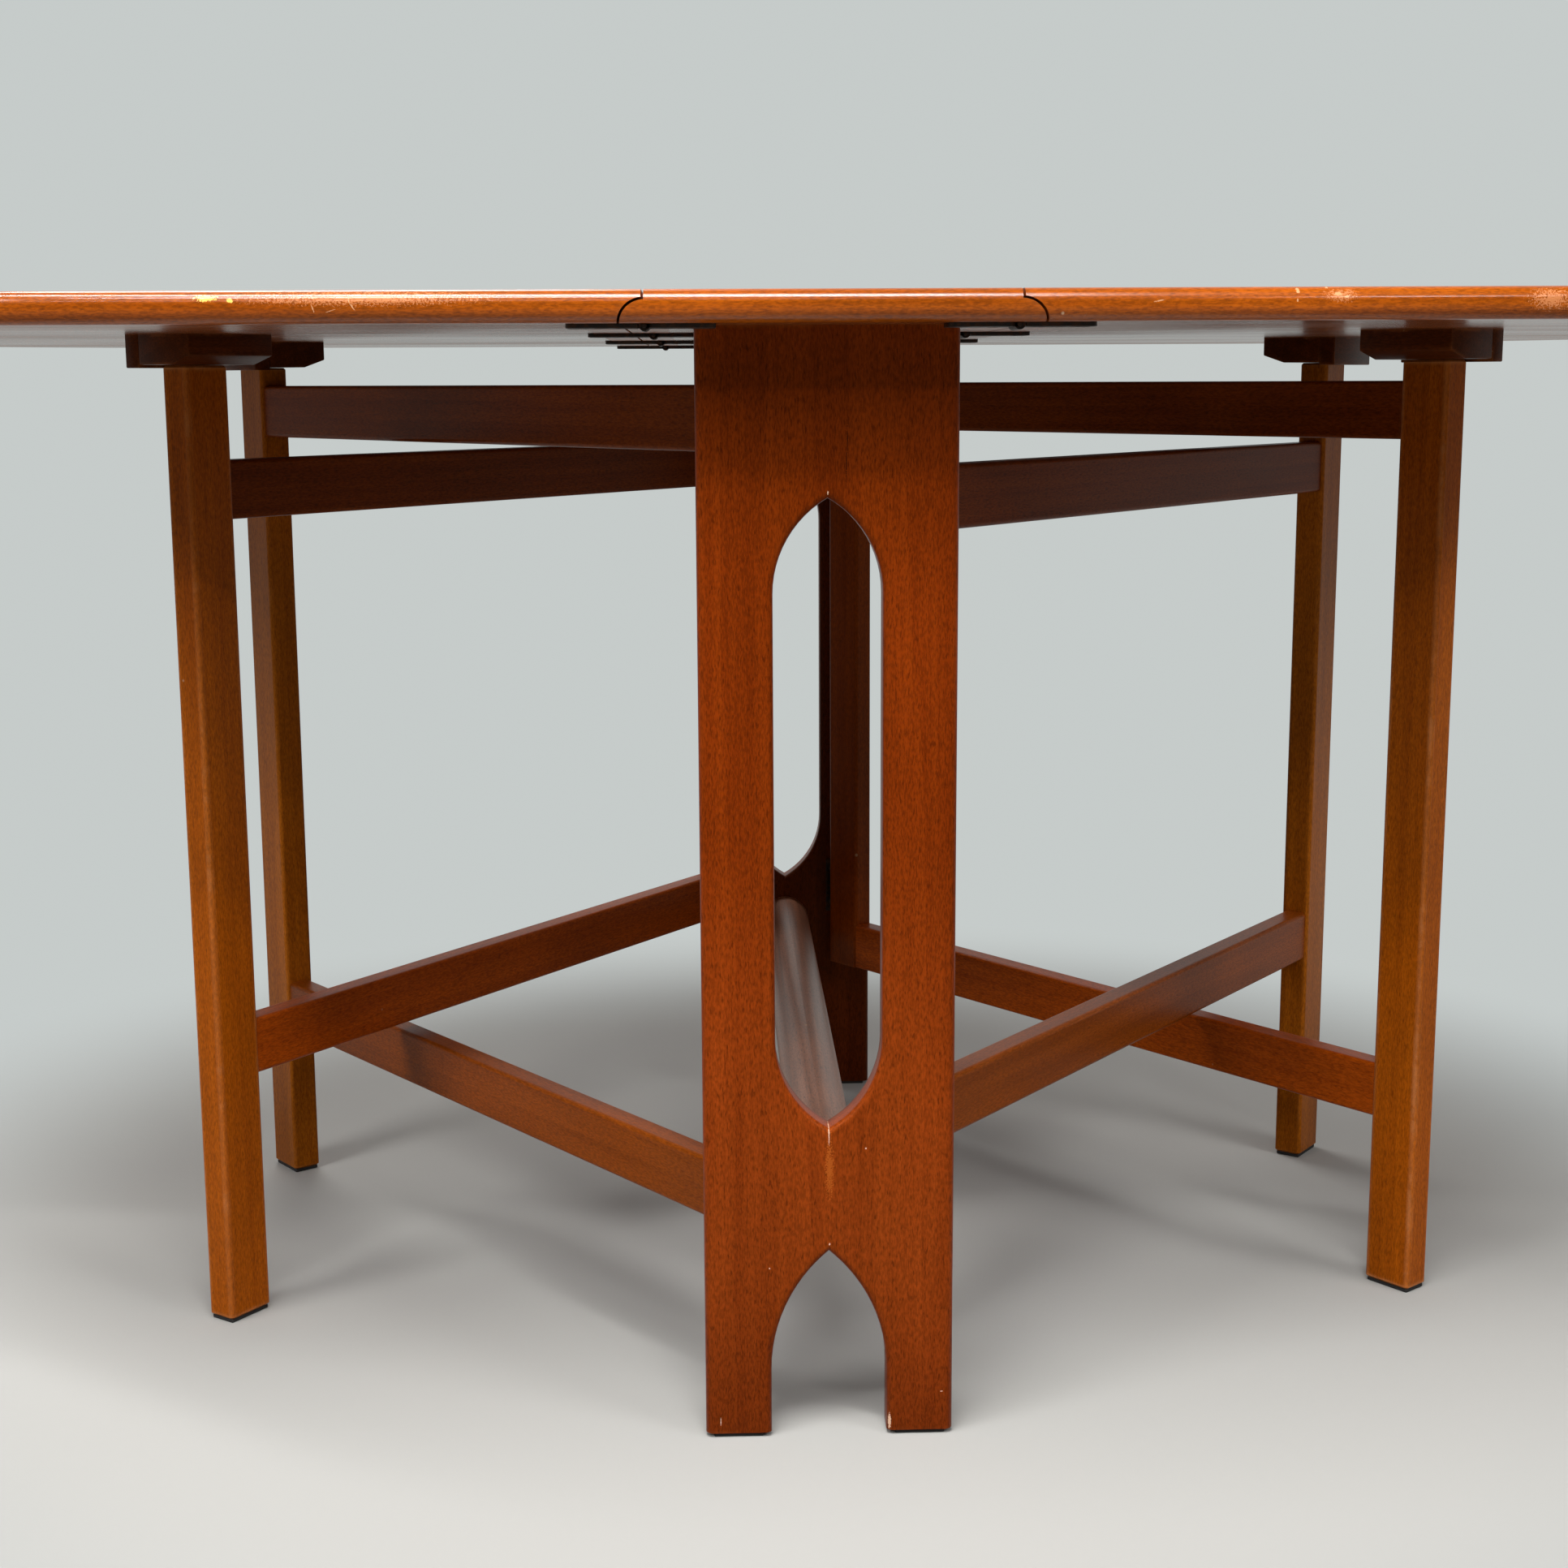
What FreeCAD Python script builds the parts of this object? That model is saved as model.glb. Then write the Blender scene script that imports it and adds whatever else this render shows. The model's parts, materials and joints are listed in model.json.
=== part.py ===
import FreeCAD, Part
import math
import os

Vector = FreeCAD.Vector

# Drop-leaf gate-leg table: a narrow centre frame with two hinged leaves, each held
# up by a pair of crossing gates. Millimetres, +Z up, origin on the floor under the
# middle of the top. X runs across both leaves, Y along the narrow centre board.

# ---- Tabletop ----
TOP_UNDERSIDE_Z = 704.0
TOP_THICKNESS = 19.0
TOP_DEPTH = 900.0
TOP_STRAIGHT_HALF = 425.0      # long edge is straight this far each side of the middle
TOP_CORNER_R = 335.0
TOP_END_R = 580.0
TOP_EDGE_R = 8.0               # rounding of the outer edge, above and below

# ---- Rule joint between centre board and leaf ----
JOINT_X = 107.5                # joint line on the top face, and the hinge pin's line
JOINT_R = 14.0                 # convex quarter round on the centre board
JOINT_GAP = 1.5
PIN_DROP = 1.0                 # hinge pin's line below the underside

# ---- Leaf hinges ----
LEAF_HINGE_INSET = 28.0        # top's edge to the middle of the outer hinges
LEAF_HINGE_WIDTH = 30.0
LEAF_STRAP_LENGTH = 45.0
CENTRE_PLATE_LENGTH = 41.0
LEAF_PLATE_THICKNESS = 2.5
LEAF_KNUCKLE_R = 3.2
LEAF_HINGE_PIN_R = 1.6
STRAP_POCKET_DEPTH = 0.7
KNUCKLE_GROOVE_CLEARANCE = 0.6

# ---- End panels ----
PANEL_WIDTH = 159.0
PANEL_THICKNESS = 22.0
PANEL_SETBACK = 64.5           # top's edge to the panel's outer face
PANEL_EDGE_R = 5.0
CUTOUT_EDGE_R = 4.0
SLOT_HALF_WIDTH = 33.5
SLOT_LOW_TIP_Z = 206.3
SLOT_TOP_DROP = 102.2          # top's underside down to the slot's upper tip
SLOT_POINT_RISE = 58.0
ARCH_HALF_WIDTH = 37.0
ARCH_TIP_Z = 124.9
ARCH_POINT_RISE = 80.0

# ---- Stretcher and cleats ----
STRETCHER_R = 21.5
STRETCHER_Z = 165.5
STRETCHER_TENON_R = 12.0
STRETCHER_TENON_LENGTH = 14.0
CLEAT_LENGTH = 132.0
CLEAT_SECTION = 24.0
CLEAT_CHAMFER = 5.0

# ---- Feet ----
PAD_THICKNESS = 3.0
PAD_INSET = 1.5

# ---- Gates ----
PIVOT_X = 54.0                 # gate's outer face and its hinge pin, from the middle
GATE_OPEN_ANGLE = {            # at rest, from the long axis of the centre board
    "near_left": 35.7,
    "far_left": 37.2,
    "near_right": 37.8,
    "far_right": 38.1,
}
LEG_SHUT_ROOM = 63.7           # shut leg to the other panel's inner face
LEG_WIDTH = 38.0               # along the gate
LEG_THICKNESS = 23.5           # across the gate
LEG_EDGE_R = 3.0
LEG_END_CHAMFER = 1.5
STILE_WIDTH = 38.0
RAIL_THICKNESS = 19.0
RAIL_HEIGHT = 41.0
RAIL_EDGE_R = 3.0
OUTER_LOWER_RAIL_Z = 128.0     # underside of the lower rail, on the gates with the wide frame
NESTED_LOWER_RAIL_Z = 178.7    # the same, on the gates that pass between those rails
OUTER_TOP_RAIL_DROP = 75.7     # top's underside down to the top rail's underside
NESTED_TOP_RAIL_DROP = 125.6
TENON_THICKNESS = 9.0
TENON_SHOULDER = 6.0
TENON_LENGTH = 16.0
TENON_CLEARANCE = 0.1

# ---- Gate hinges ----
GATE_HINGE_HEIGHT = 50.0
GATE_HINGE_WIDTH = 15.0
GATE_PLATE_THICKNESS = 1.5
GATE_KNUCKLE_R = 3.0
GATE_HINGE_PIN_R = 1.4
GATE_HINGE_END_OFFSET = 70.0   # stile end to the middle of the hinge
KNUCKLE_FACE_GAP = 0.3

# ---- Support blocks under the leaves ----
BLOCK_THICKNESS = 20.0
BLOCK_INNER_REACH = 37.0       # from the leg's middle, towards the gate's hinge
BLOCK_OUTER_REACH = 38.0
BLOCK_CLOSING_REACH = 37.0     # from the leg's middle, on the side the leg comes from
RAMP_RUN = 18.0
RAMP_DROP = 6.0
STOP_LIP_WIDTH = 13.0
STOP_LIP_DROP = 2.0
LEG_TOP_GAP = 0.3
STOP_GAP = 0.3

# ---- Fits shared by both kinds of hinge ----
PIN_CLEARANCE = 0.05           # radial, in the knuckle that turns
KNUCKLE_END_GAP = 0.3
PIN_HEAD = 0.8
MARGIN = 10.0                  # cutting tools run past the faces by this much
OVERLAP = 5.0                  # half shapes run past the middle plane before they are trimmed
NEAR_ENOUGH = 0.1              # two heights or places this close are the same one
PARALLEL = 0.999               # least cosine between two directions that count as one

# ---- Places worked out from the values above ----
TOP_Z = TOP_UNDERSIDE_Z + TOP_THICKNESS
PIN_Z = TOP_UNDERSIDE_Z - PIN_DROP
INNER_HINGE_Y = TOP_DEPTH / 6
OUTER_HINGE_Y = TOP_DEPTH / 2 - LEAF_HINGE_INSET
LEAF_HINGE_Y = (-OUTER_HINGE_Y, -INNER_HINGE_Y, INNER_HINGE_Y, OUTER_HINGE_Y)
PANEL_FACE_Y = TOP_DEPTH / 2 - PANEL_SETBACK
PANEL_INNER_Y = PANEL_FACE_Y - PANEL_THICKNESS
SLOT_HIGH_TIP_Z = TOP_UNDERSIDE_Z - SLOT_TOP_DROP
PIVOT_Y = PANEL_INNER_Y - GATE_KNUCKLE_R - KNUCKLE_FACE_GAP
STILE_END_Y = PIVOT_Y - GATE_KNUCKLE_R - KNUCKLE_FACE_GAP
STILE_INNER_Y = STILE_END_Y - STILE_WIDTH
LEG_MIDDLE_Y = LEG_SHUT_ROOM + LEG_WIDTH / 2 - PANEL_INNER_Y
LEG_INNER_Y = LEG_MIDDLE_Y + LEG_WIDTH / 2
RAIL_MIDDLE_X = PIVOT_X - RAIL_THICKNESS / 2
BLOCK_BOTTOM_Z = TOP_UNDERSIDE_Z - BLOCK_THICKNESS
LEG_TOP_Z = BLOCK_BOTTOM_Z - LEG_TOP_GAP
OUTER_RAILS_Z = (OUTER_LOWER_RAIL_Z, TOP_UNDERSIDE_Z - OUTER_TOP_RAIL_DROP)
NESTED_RAILS_Z = (NESTED_LOWER_RAIL_Z, TOP_UNDERSIDE_Z - NESTED_TOP_RAIL_DROP)


# ---------- small helpers ----------

def box(x_span, y_span, z_span):
    """Box between two values on each axis."""
    size = [max(span) - min(span) for span in (x_span, y_span, z_span)]
    corner = Vector(min(x_span), min(y_span), min(z_span))
    return Part.makeBox(size[0], size[1], size[2], corner)


def about(middle, half):
    """Span of a given half width about a middle."""
    return (middle - half, middle + half)


def is_along(edge, axis):
    """True for a straight edge parallel to the axis."""
    if edge.Curve.TypeId != "Part::GeomLine":
        return False
    return abs(edge.Curve.Direction.dot(axis)) > PARALLEL


def round_edges(shape, radius, wanted):
    """Fillet the edges that the test picks."""
    edges = [edge for edge in shape.Edges if wanted(edge)]
    return shape.makeFillet(radius, edges)


def arc_about(centre, radius, start_deg, end_deg, place):
    """Arc through three points, placed in a plane by place(a, b)."""
    points = []
    for angle in (start_deg, (start_deg + end_deg) / 2, end_deg):
        turn = math.radians(angle)
        along = centre[0] + radius * math.cos(turn)
        across = centre[1] + radius * math.sin(turn)
        points.append(place(along, across))
    return Part.Arc(*points).toShape()


def line(start, end):
    return Part.LineSegment(start, end).toShape()


def prism(edges, direction):
    """Solid swept by a closed outline along a straight direction."""
    face = Part.Face(Part.Wire(edges))
    return face.extrude(direction)


def lancet_radius(half_width, rise):
    """Radius of an arc that leaves a straight side square and meets its twin at a point."""
    return (half_width ** 2 + rise ** 2) / (2 * half_width)


# ---------- tabletop ----------

def top_outline():
    """Plan outline of the whole open top: straight long edges and rounded ends."""
    half_depth = TOP_DEPTH / 2
    corner_y = half_depth - TOP_CORNER_R
    centre_distance = TOP_END_R - TOP_CORNER_R
    end_centre_x = TOP_STRAIGHT_HALF - math.sqrt(centre_distance ** 2 - corner_y ** 2)
    blend_angle = math.degrees(math.asin(corner_y / centre_distance))

    def plan(x, y):
        return Vector(x, y, TOP_UNDERSIDE_Z)

    def plan_left(x, y):
        return Vector(-x, y, TOP_UNDERSIDE_Z)

    corners = ((TOP_STRAIGHT_HALF, -corner_y), (TOP_STRAIGHT_HALF, corner_y))
    edges = [line(plan(-TOP_STRAIGHT_HALF, -half_depth), plan(TOP_STRAIGHT_HALF, -half_depth))]
    edges.append(arc_about(corners[0], TOP_CORNER_R, -90, -blend_angle, plan))
    edges.append(arc_about((end_centre_x, 0), TOP_END_R, -blend_angle, blend_angle, plan))
    edges.append(arc_about(corners[1], TOP_CORNER_R, blend_angle, 90, plan))
    edges.append(line(plan(TOP_STRAIGHT_HALF, half_depth), plan(-TOP_STRAIGHT_HALF, half_depth)))
    edges.append(arc_about(corners[1], TOP_CORNER_R, 90, blend_angle, plan_left))
    edges.append(arc_about((end_centre_x, 0), TOP_END_R, blend_angle, -blend_angle, plan_left))
    edges.append(arc_about(corners[0], TOP_CORNER_R, -blend_angle, -90, plan_left))
    return edges


def whole_top():
    """The open top as one plate with its outer edge rounded above and below."""
    plate = prism(top_outline(), Vector(0, 0, TOP_THICKNESS))

    def is_outline(edge):
        return edge.BoundBox.ZLength < NEAR_ENOUGH

    return round_edges(plate, TOP_EDGE_R, is_outline)


def section_point(x, z):
    return Vector(x, -TOP_DEPTH, z)


def section_point_left(x, z):
    return Vector(-x, -TOP_DEPTH, z)


def centre_board(plate):
    """Centre board: a convex quarter round and a small step along both long edges."""
    above = TOP_Z + MARGIN
    step_z = PIN_Z + JOINT_R
    edges = [line(section_point(-JOINT_X - JOINT_R, PIN_Z), section_point(JOINT_X + JOINT_R, PIN_Z))]
    edges.append(arc_about((JOINT_X, PIN_Z), JOINT_R, 0, 90, section_point))
    edges.append(line(section_point(JOINT_X, step_z), section_point(JOINT_X, above)))
    edges.append(line(section_point(JOINT_X, above), section_point(-JOINT_X, above)))
    edges.append(line(section_point(-JOINT_X, above), section_point(-JOINT_X, step_z)))
    edges.append(arc_about((JOINT_X, PIN_Z), JOINT_R, 90, 0, section_point_left))
    board = plate.common(prism(edges, Vector(0, 2 * TOP_DEPTH, 0)))
    for side in (-1, 1):
        for hinge_y in LEAF_HINGE_Y:
            board = board.cut(hinge_recess(side, hinge_y))
    return board


def hinge_recess(side, hinge_y):
    """Groove for the knuckle, and a shallow pocket that lets the leaf's strap rise."""
    half_width = LEAF_HINGE_WIDTH / 2 + PIN_HEAD + KNUCKLE_GROOVE_CLEARANCE
    groove = Part.makeCylinder(
        LEAF_KNUCKLE_R + KNUCKLE_GROOVE_CLEARANCE, 2 * half_width,
        Vector(side * JOINT_X, hinge_y - half_width, PIN_Z), Vector(0, 1, 0))
    pocket_x = (side * JOINT_X, side * (JOINT_X + JOINT_R + MARGIN))
    pocket = box(pocket_x, about(hinge_y, half_width),
                 (PIN_Z, TOP_UNDERSIDE_Z + STRAP_POCKET_DEPTH))
    return groove.fuse(pocket)


def leaf_board(plate, side):
    """Leaf: a D-shaped board with a cove that turns round the centre board's edge."""
    above = TOP_Z + MARGIN
    beyond = 2 * TOP_DEPTH
    cove_r = JOINT_R + JOINT_GAP
    lip_angle = math.degrees(math.acos(JOINT_GAP / cove_r))
    lip_z = PIN_Z + cove_r * math.sin(math.radians(lip_angle))
    lip_x = JOINT_X + JOINT_GAP
    edges = [line(section_point(lip_x, above), section_point(lip_x, lip_z))]
    edges.append(arc_about((JOINT_X, PIN_Z), cove_r, lip_angle, 0, section_point))
    edges.append(line(section_point(JOINT_X + cove_r, PIN_Z), section_point(beyond, PIN_Z)))
    edges.append(line(section_point(beyond, PIN_Z), section_point(beyond, above)))
    edges.append(line(section_point(beyond, above), section_point(lip_x, above)))
    board = plate.common(prism(edges, Vector(0, 2 * TOP_DEPTH, 0)))
    if side < 0:
        board = board.mirror(Vector(0, 0, 0), Vector(1, 0, 0))
    return board


# ---------- leaf hinges ----------

def knuckle_spans(middle, length):
    """Three knuckles on one pin: a middle one and two outer ones."""
    third = (length - 2 * KNUCKLE_END_GAP) / 3
    middle_span = about(middle, third / 2)
    low_span = (middle - length / 2, middle - third / 2 - KNUCKLE_END_GAP)
    high_span = (middle + third / 2 + KNUCKLE_END_GAP, middle + length / 2)
    return middle_span, low_span, high_span


def knuckle(base, span, axis, outer_r, bore_r):
    """Hollow barrel along an axis through base, between two distances along it."""
    start = base + axis * span[0]
    length = span[1] - span[0]
    barrel = Part.makeCylinder(outer_r, length, start, axis)
    return barrel, Part.makeCylinder(bore_r, length, start, axis)


def leaf_strap(hinge_y):
    """Long strap under the leaf, with the middle knuckle."""
    axis = Vector(0, 1, 0)
    base = Vector(JOINT_X, 0, PIN_Z)
    span = knuckle_spans(hinge_y, LEAF_HINGE_WIDTH)[0]
    barrel, bore = knuckle(base, span, axis, LEAF_KNUCKLE_R, LEAF_HINGE_PIN_R + PIN_CLEARANCE)
    plate_z = (TOP_UNDERSIDE_Z - LEAF_PLATE_THICKNESS, TOP_UNDERSIDE_Z)
    clear_x = JOINT_X + LEAF_KNUCKLE_R + KNUCKLE_GROOVE_CLEARANCE
    strap = box((clear_x, JOINT_X + LEAF_STRAP_LENGTH), about(hinge_y, LEAF_HINGE_WIDTH / 2), plate_z)
    neck = box((JOINT_X, clear_x), span, plate_z)
    return strap.fuse([neck, barrel]).cut(bore).removeSplitter()


def centre_plate(hinge_y):
    """Short plate under the centre board, with the two outer knuckles."""
    axis = Vector(0, 1, 0)
    base = Vector(JOINT_X, 0, PIN_Z)
    plate_z = (TOP_UNDERSIDE_Z - LEAF_PLATE_THICKNESS, TOP_UNDERSIDE_Z)
    clear_x = JOINT_X - LEAF_KNUCKLE_R - KNUCKLE_GROOVE_CLEARANCE
    plate = box((JOINT_X - CENTRE_PLATE_LENGTH, clear_x), about(hinge_y, LEAF_HINGE_WIDTH / 2), plate_z)
    for span in knuckle_spans(hinge_y, LEAF_HINGE_WIDTH)[1:]:
        barrel, bore = knuckle(base, span, axis, LEAF_KNUCKLE_R, LEAF_HINGE_PIN_R)
        neck = box((clear_x, JOINT_X), span, plate_z)
        plate = plate.fuse([neck, barrel]).cut(bore)
    return plate.removeSplitter()


def leaf_hinge_pin(hinge_y):
    length = LEAF_HINGE_WIDTH + 2 * PIN_HEAD
    start = Vector(JOINT_X, hinge_y - length / 2, PIN_Z)
    return Part.makeCylinder(LEAF_HINGE_PIN_R, length, start, Vector(0, 1, 0))


# ---------- centre frame ----------

def half_lancet(half_width, spring_z, rise, place):
    """Arc from a straight side up to the point of a pointed arch, and on past the middle."""
    radius = lancet_radius(half_width, rise)
    centre_x = radius - half_width
    end_angle = math.degrees(math.acos((OVERLAP - centre_x) / radius))
    end_z = spring_z + radius * math.sin(math.radians(end_angle))
    return arc_about((centre_x, spring_z), radius, 180, end_angle, place), end_z


def half_slot_outline(y):
    """Left half of the tall slot, with a pointed arch at each end."""
    low_spring = SLOT_LOW_TIP_Z + SLOT_POINT_RISE
    high_spring = SLOT_HIGH_TIP_Z - SLOT_POINT_RISE

    def upright(x, z):
        return Vector(x, y, z)

    def turned_over(x, z):
        return Vector(x, y, 2 * low_spring - z)

    high_arc, high_z = half_lancet(SLOT_HALF_WIDTH, high_spring, SLOT_POINT_RISE, upright)
    low_arc, low_z = half_lancet(SLOT_HALF_WIDTH, low_spring, SLOT_POINT_RISE, turned_over)
    side = line(upright(-SLOT_HALF_WIDTH, high_spring), upright(-SLOT_HALF_WIDTH, low_spring))
    middle = line(turned_over(OVERLAP, low_z), upright(OVERLAP, high_z))
    return Part.__sortEdges__([high_arc, side, low_arc, middle])


def half_arch_outline(y):
    """Left half of the pointed arch that parts the panel's foot in two."""
    floor_z = PAD_THICKNESS - MARGIN
    spring_z = ARCH_TIP_Z - ARCH_POINT_RISE

    def upright(x, z):
        return Vector(x, y, z)

    arc, tip_z = half_lancet(ARCH_HALF_WIDTH, spring_z, ARCH_POINT_RISE, upright)
    side = line(upright(-ARCH_HALF_WIDTH, floor_z), upright(-ARCH_HALF_WIDTH, spring_z))
    middle = line(upright(OVERLAP, tip_z), upright(OVERLAP, floor_z))
    foot = line(upright(OVERLAP, floor_z), upright(-ARCH_HALF_WIDTH, floor_z))
    return Part.__sortEdges__([side, arc, middle, foot])


def half_panel():
    """Left half of the far end panel, its cut-outs rounded over up to the middle plane."""
    half = PANEL_WIDTH / 2
    y_span = (PANEL_INNER_Y, PANEL_FACE_Y)
    z_span = (PAD_THICKNESS, TOP_UNDERSIDE_Z)
    board = box((-half, OVERLAP), y_span, z_span)
    through = Vector(0, PANEL_THICKNESS + 2 * MARGIN, 0)
    start_y = PANEL_INNER_Y - MARGIN
    board = board.cut(prism(half_slot_outline(start_y), through))
    board = board.cut(prism(half_arch_outline(start_y), through))

    def is_cutout_rim(edge):
        bounds = edge.BoundBox
        on_face = bounds.YLength < NEAR_ENOUGH
        inside = bounds.XMin > NEAR_ENOUGH - half and bounds.XMin < OVERLAP - NEAR_ENOUGH
        on_floor = bounds.ZMax < PAD_THICKNESS + NEAR_ENOUGH
        return on_face and inside and not on_floor

    board = round_edges(board, CUTOUT_EDGE_R, is_cutout_rim)

    def is_corner(edge):
        at_side = abs(edge.CenterOfMass.x + half) < NEAR_ENOUGH
        return at_side and is_along(edge, Vector(0, 0, 1))

    board = round_edges(board, PANEL_EDGE_R, is_corner)
    return board.common(box((-half - MARGIN, 0), (0, PANEL_FACE_Y + MARGIN), z_span))


def end_panel():
    """Far end panel: solid board with a lancet slot and a pointed foot arch, edges rounded."""
    left = half_panel()
    panel = left.fuse(left.mirror(Vector(0, 0, 0), Vector(1, 0, 0))).removeSplitter()
    socket = Part.makeCylinder(STRETCHER_TENON_R, STRETCHER_TENON_LENGTH,
                               Vector(0, PANEL_INNER_Y, STRETCHER_Z), Vector(0, 1, 0))
    return panel.cut(socket)


def centre_stretcher():
    """Round pole between the panels, with a stub tenon in a socket at each end."""
    axis = Vector(0, 1, 0)
    pole = Part.makeCylinder(STRETCHER_R, 2 * PANEL_INNER_Y,
                             Vector(0, -PANEL_INNER_Y, STRETCHER_Z), axis)
    tenon_reach = PANEL_INNER_Y + STRETCHER_TENON_LENGTH
    tenons = Part.makeCylinder(STRETCHER_TENON_R, 2 * tenon_reach,
                               Vector(0, -tenon_reach, STRETCHER_Z), axis)
    return pole.fuse(tenons).removeSplitter()


def top_cleat():
    """Far cleat: the batten that screws the panel to the centre board."""
    cleat = box(about(0, CLEAT_LENGTH / 2), (PANEL_INNER_Y - CLEAT_SECTION, PANEL_INNER_Y),
                (TOP_UNDERSIDE_Z - CLEAT_SECTION, TOP_UNDERSIDE_Z))

    def is_lower_inner(edge):
        middle = edge.CenterOfMass
        low = middle.z < TOP_UNDERSIDE_Z - CLEAT_SECTION + NEAR_ENOUGH
        inner = middle.y < PANEL_INNER_Y - CLEAT_SECTION + NEAR_ENOUGH
        return low and inner and is_along(edge, Vector(1, 0, 0))

    return cleat.makeChamfer(CLEAT_CHAMFER, [edge for edge in cleat.Edges if is_lower_inner(edge)])


def panel_pads():
    """Felt pads under the two feet of the far panel."""
    inner_x = ARCH_HALF_WIDTH + CUTOUT_EDGE_R + PAD_INSET
    outer_x = PANEL_WIDTH / 2 - PANEL_EDGE_R
    y_span = (PANEL_INNER_Y + PAD_INSET, PANEL_FACE_Y - PAD_INSET)
    pads = [box((side * inner_x, side * outer_x), y_span, (0, PAD_THICKNESS)) for side in (-1, 1)]
    return Part.makeCompound(pads)


# ---------- gates, drawn shut against the far panel on the right, then swung open ----------

def tenon(y_shoulder, y_direction, rail_z):
    """Tenon on a rail's end, from its shoulder in the given direction along Y."""
    low = rail_z + TENON_SHOULDER
    high = rail_z + RAIL_HEIGHT - TENON_SHOULDER
    tip_y = y_shoulder + y_direction * TENON_LENGTH
    return box(about(RAIL_MIDDLE_X, TENON_THICKNESS / 2), (y_shoulder, tip_y), (low, high))


def mortise(y_shoulder, y_direction, rail_z):
    """Pocket for that tenon, with a little room for glue all round."""
    half = TENON_THICKNESS / 2 + TENON_CLEARANCE
    low = rail_z + TENON_SHOULDER - TENON_CLEARANCE
    high = rail_z + RAIL_HEIGHT - TENON_SHOULDER + TENON_CLEARANCE
    tip_y = y_shoulder + y_direction * (TENON_LENGTH + TENON_CLEARANCE)
    return box(about(RAIL_MIDDLE_X, half), (y_shoulder, tip_y), (low, high))


def leg(rails_z):
    """Full-height leg that swings at the gate's free end."""
    post = box(about(RAIL_MIDDLE_X, LEG_THICKNESS / 2), about(LEG_MIDDLE_Y, LEG_WIDTH / 2),
               (PAD_THICKNESS, LEG_TOP_Z))
    post = round_edges(post, LEG_EDGE_R, lambda edge: is_along(edge, Vector(0, 0, 1)))
    ends = [edge for edge in post.Edges if edge.BoundBox.ZLength < NEAR_ENOUGH]
    post = post.makeChamfer(LEG_END_CHAMFER, ends)
    for rail_z in rails_z:
        post = post.cut(mortise(LEG_INNER_Y, -1, rail_z))
    return post


def stile(rails_z, runs_past_rails):
    """Upright at the hinge: past the rails' ends on one kind of gate, between them on the other."""
    if runs_past_rails:
        z_span = (rails_z[0], rails_z[1] + RAIL_HEIGHT)
    else:
        z_span = (rails_z[0] + RAIL_HEIGHT, rails_z[1])
    post = box((PIVOT_X - RAIL_THICKNESS, PIVOT_X), (STILE_INNER_Y, STILE_END_Y), z_span)
    post = round_edges(post, RAIL_EDGE_R, lambda edge: is_along(edge, Vector(0, 0, 1)))
    if runs_past_rails:
        for rail_z in rails_z:
            post = post.cut(mortise(STILE_INNER_Y, 1, rail_z))
    return post


def rail(rail_z, runs_past_rails):
    """Rail from the stile to the leg, tenoned into the leg and butted or tenoned at the stile."""
    start_y = STILE_INNER_Y if runs_past_rails else STILE_END_Y
    bar = box((PIVOT_X - RAIL_THICKNESS, PIVOT_X), (LEG_INNER_Y, start_y),
              (rail_z, rail_z + RAIL_HEIGHT))
    bar = round_edges(bar, RAIL_EDGE_R, lambda edge: is_along(edge, Vector(0, 1, 0)))
    bar = bar.fuse(tenon(LEG_INNER_Y, -1, rail_z))
    if runs_past_rails:
        bar = bar.fuse(tenon(STILE_INNER_Y, 1, rail_z))
    return bar


def leg_pad():
    return box(about(RAIL_MIDDLE_X, LEG_THICKNESS / 2 - PAD_INSET),
               about(LEG_MIDDLE_Y, LEG_WIDTH / 2 - PAD_INSET), (0, PAD_THICKNESS))


def hinge_heights(rails_z):
    """Middles of the two butt hinges on a gate."""
    low = rails_z[0] + GATE_HINGE_END_OFFSET
    high = rails_z[1] + RAIL_HEIGHT - GATE_HINGE_END_OFFSET
    return (low, high)


def hinge_leaf(z_middle, face_y, plate_direction, spans, bore_r):
    """One leaf of a butt hinge: a thin plate on a face, with its share of the knuckles."""
    axis = Vector(0, 0, 1)
    base = Vector(PIVOT_X, PIVOT_Y, 0)
    plate_y = (face_y, face_y + plate_direction * GATE_PLATE_THICKNESS)
    near_x = PIVOT_X - GATE_KNUCKLE_R - KNUCKLE_END_GAP
    plate = box((PIVOT_X - GATE_HINGE_WIDTH, near_x), plate_y, about(z_middle, GATE_HINGE_HEIGHT / 2))
    for span in spans:
        barrel, bore = knuckle(base, span, axis, GATE_KNUCKLE_R, bore_r)
        neck = box((near_x, PIVOT_X), plate_y, span)
        plate = plate.fuse([neck, barrel]).cut(bore)
    return plate.removeSplitter()


def gate_hinge_leaves(rails_z):
    """Leaves on the stile's end, each with the middle knuckle."""
    leaves = []
    for z_middle in hinge_heights(rails_z):
        middle_span = knuckle_spans(z_middle, GATE_HINGE_HEIGHT)[0]
        leaves.append(hinge_leaf(z_middle, STILE_END_Y, 1, [middle_span],
                                 GATE_HINGE_PIN_R + PIN_CLEARANCE))
    return Part.makeCompound(leaves)


def panel_hinge_leaves(rails_z):
    """Leaves on the panel's inner face, each with the two outer knuckles."""
    leaves = []
    for z_middle in hinge_heights(rails_z):
        outer_spans = knuckle_spans(z_middle, GATE_HINGE_HEIGHT)[1:]
        leaves.append(hinge_leaf(z_middle, PANEL_INNER_Y, -1, outer_spans, GATE_HINGE_PIN_R))
    return Part.makeCompound(leaves)


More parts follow.
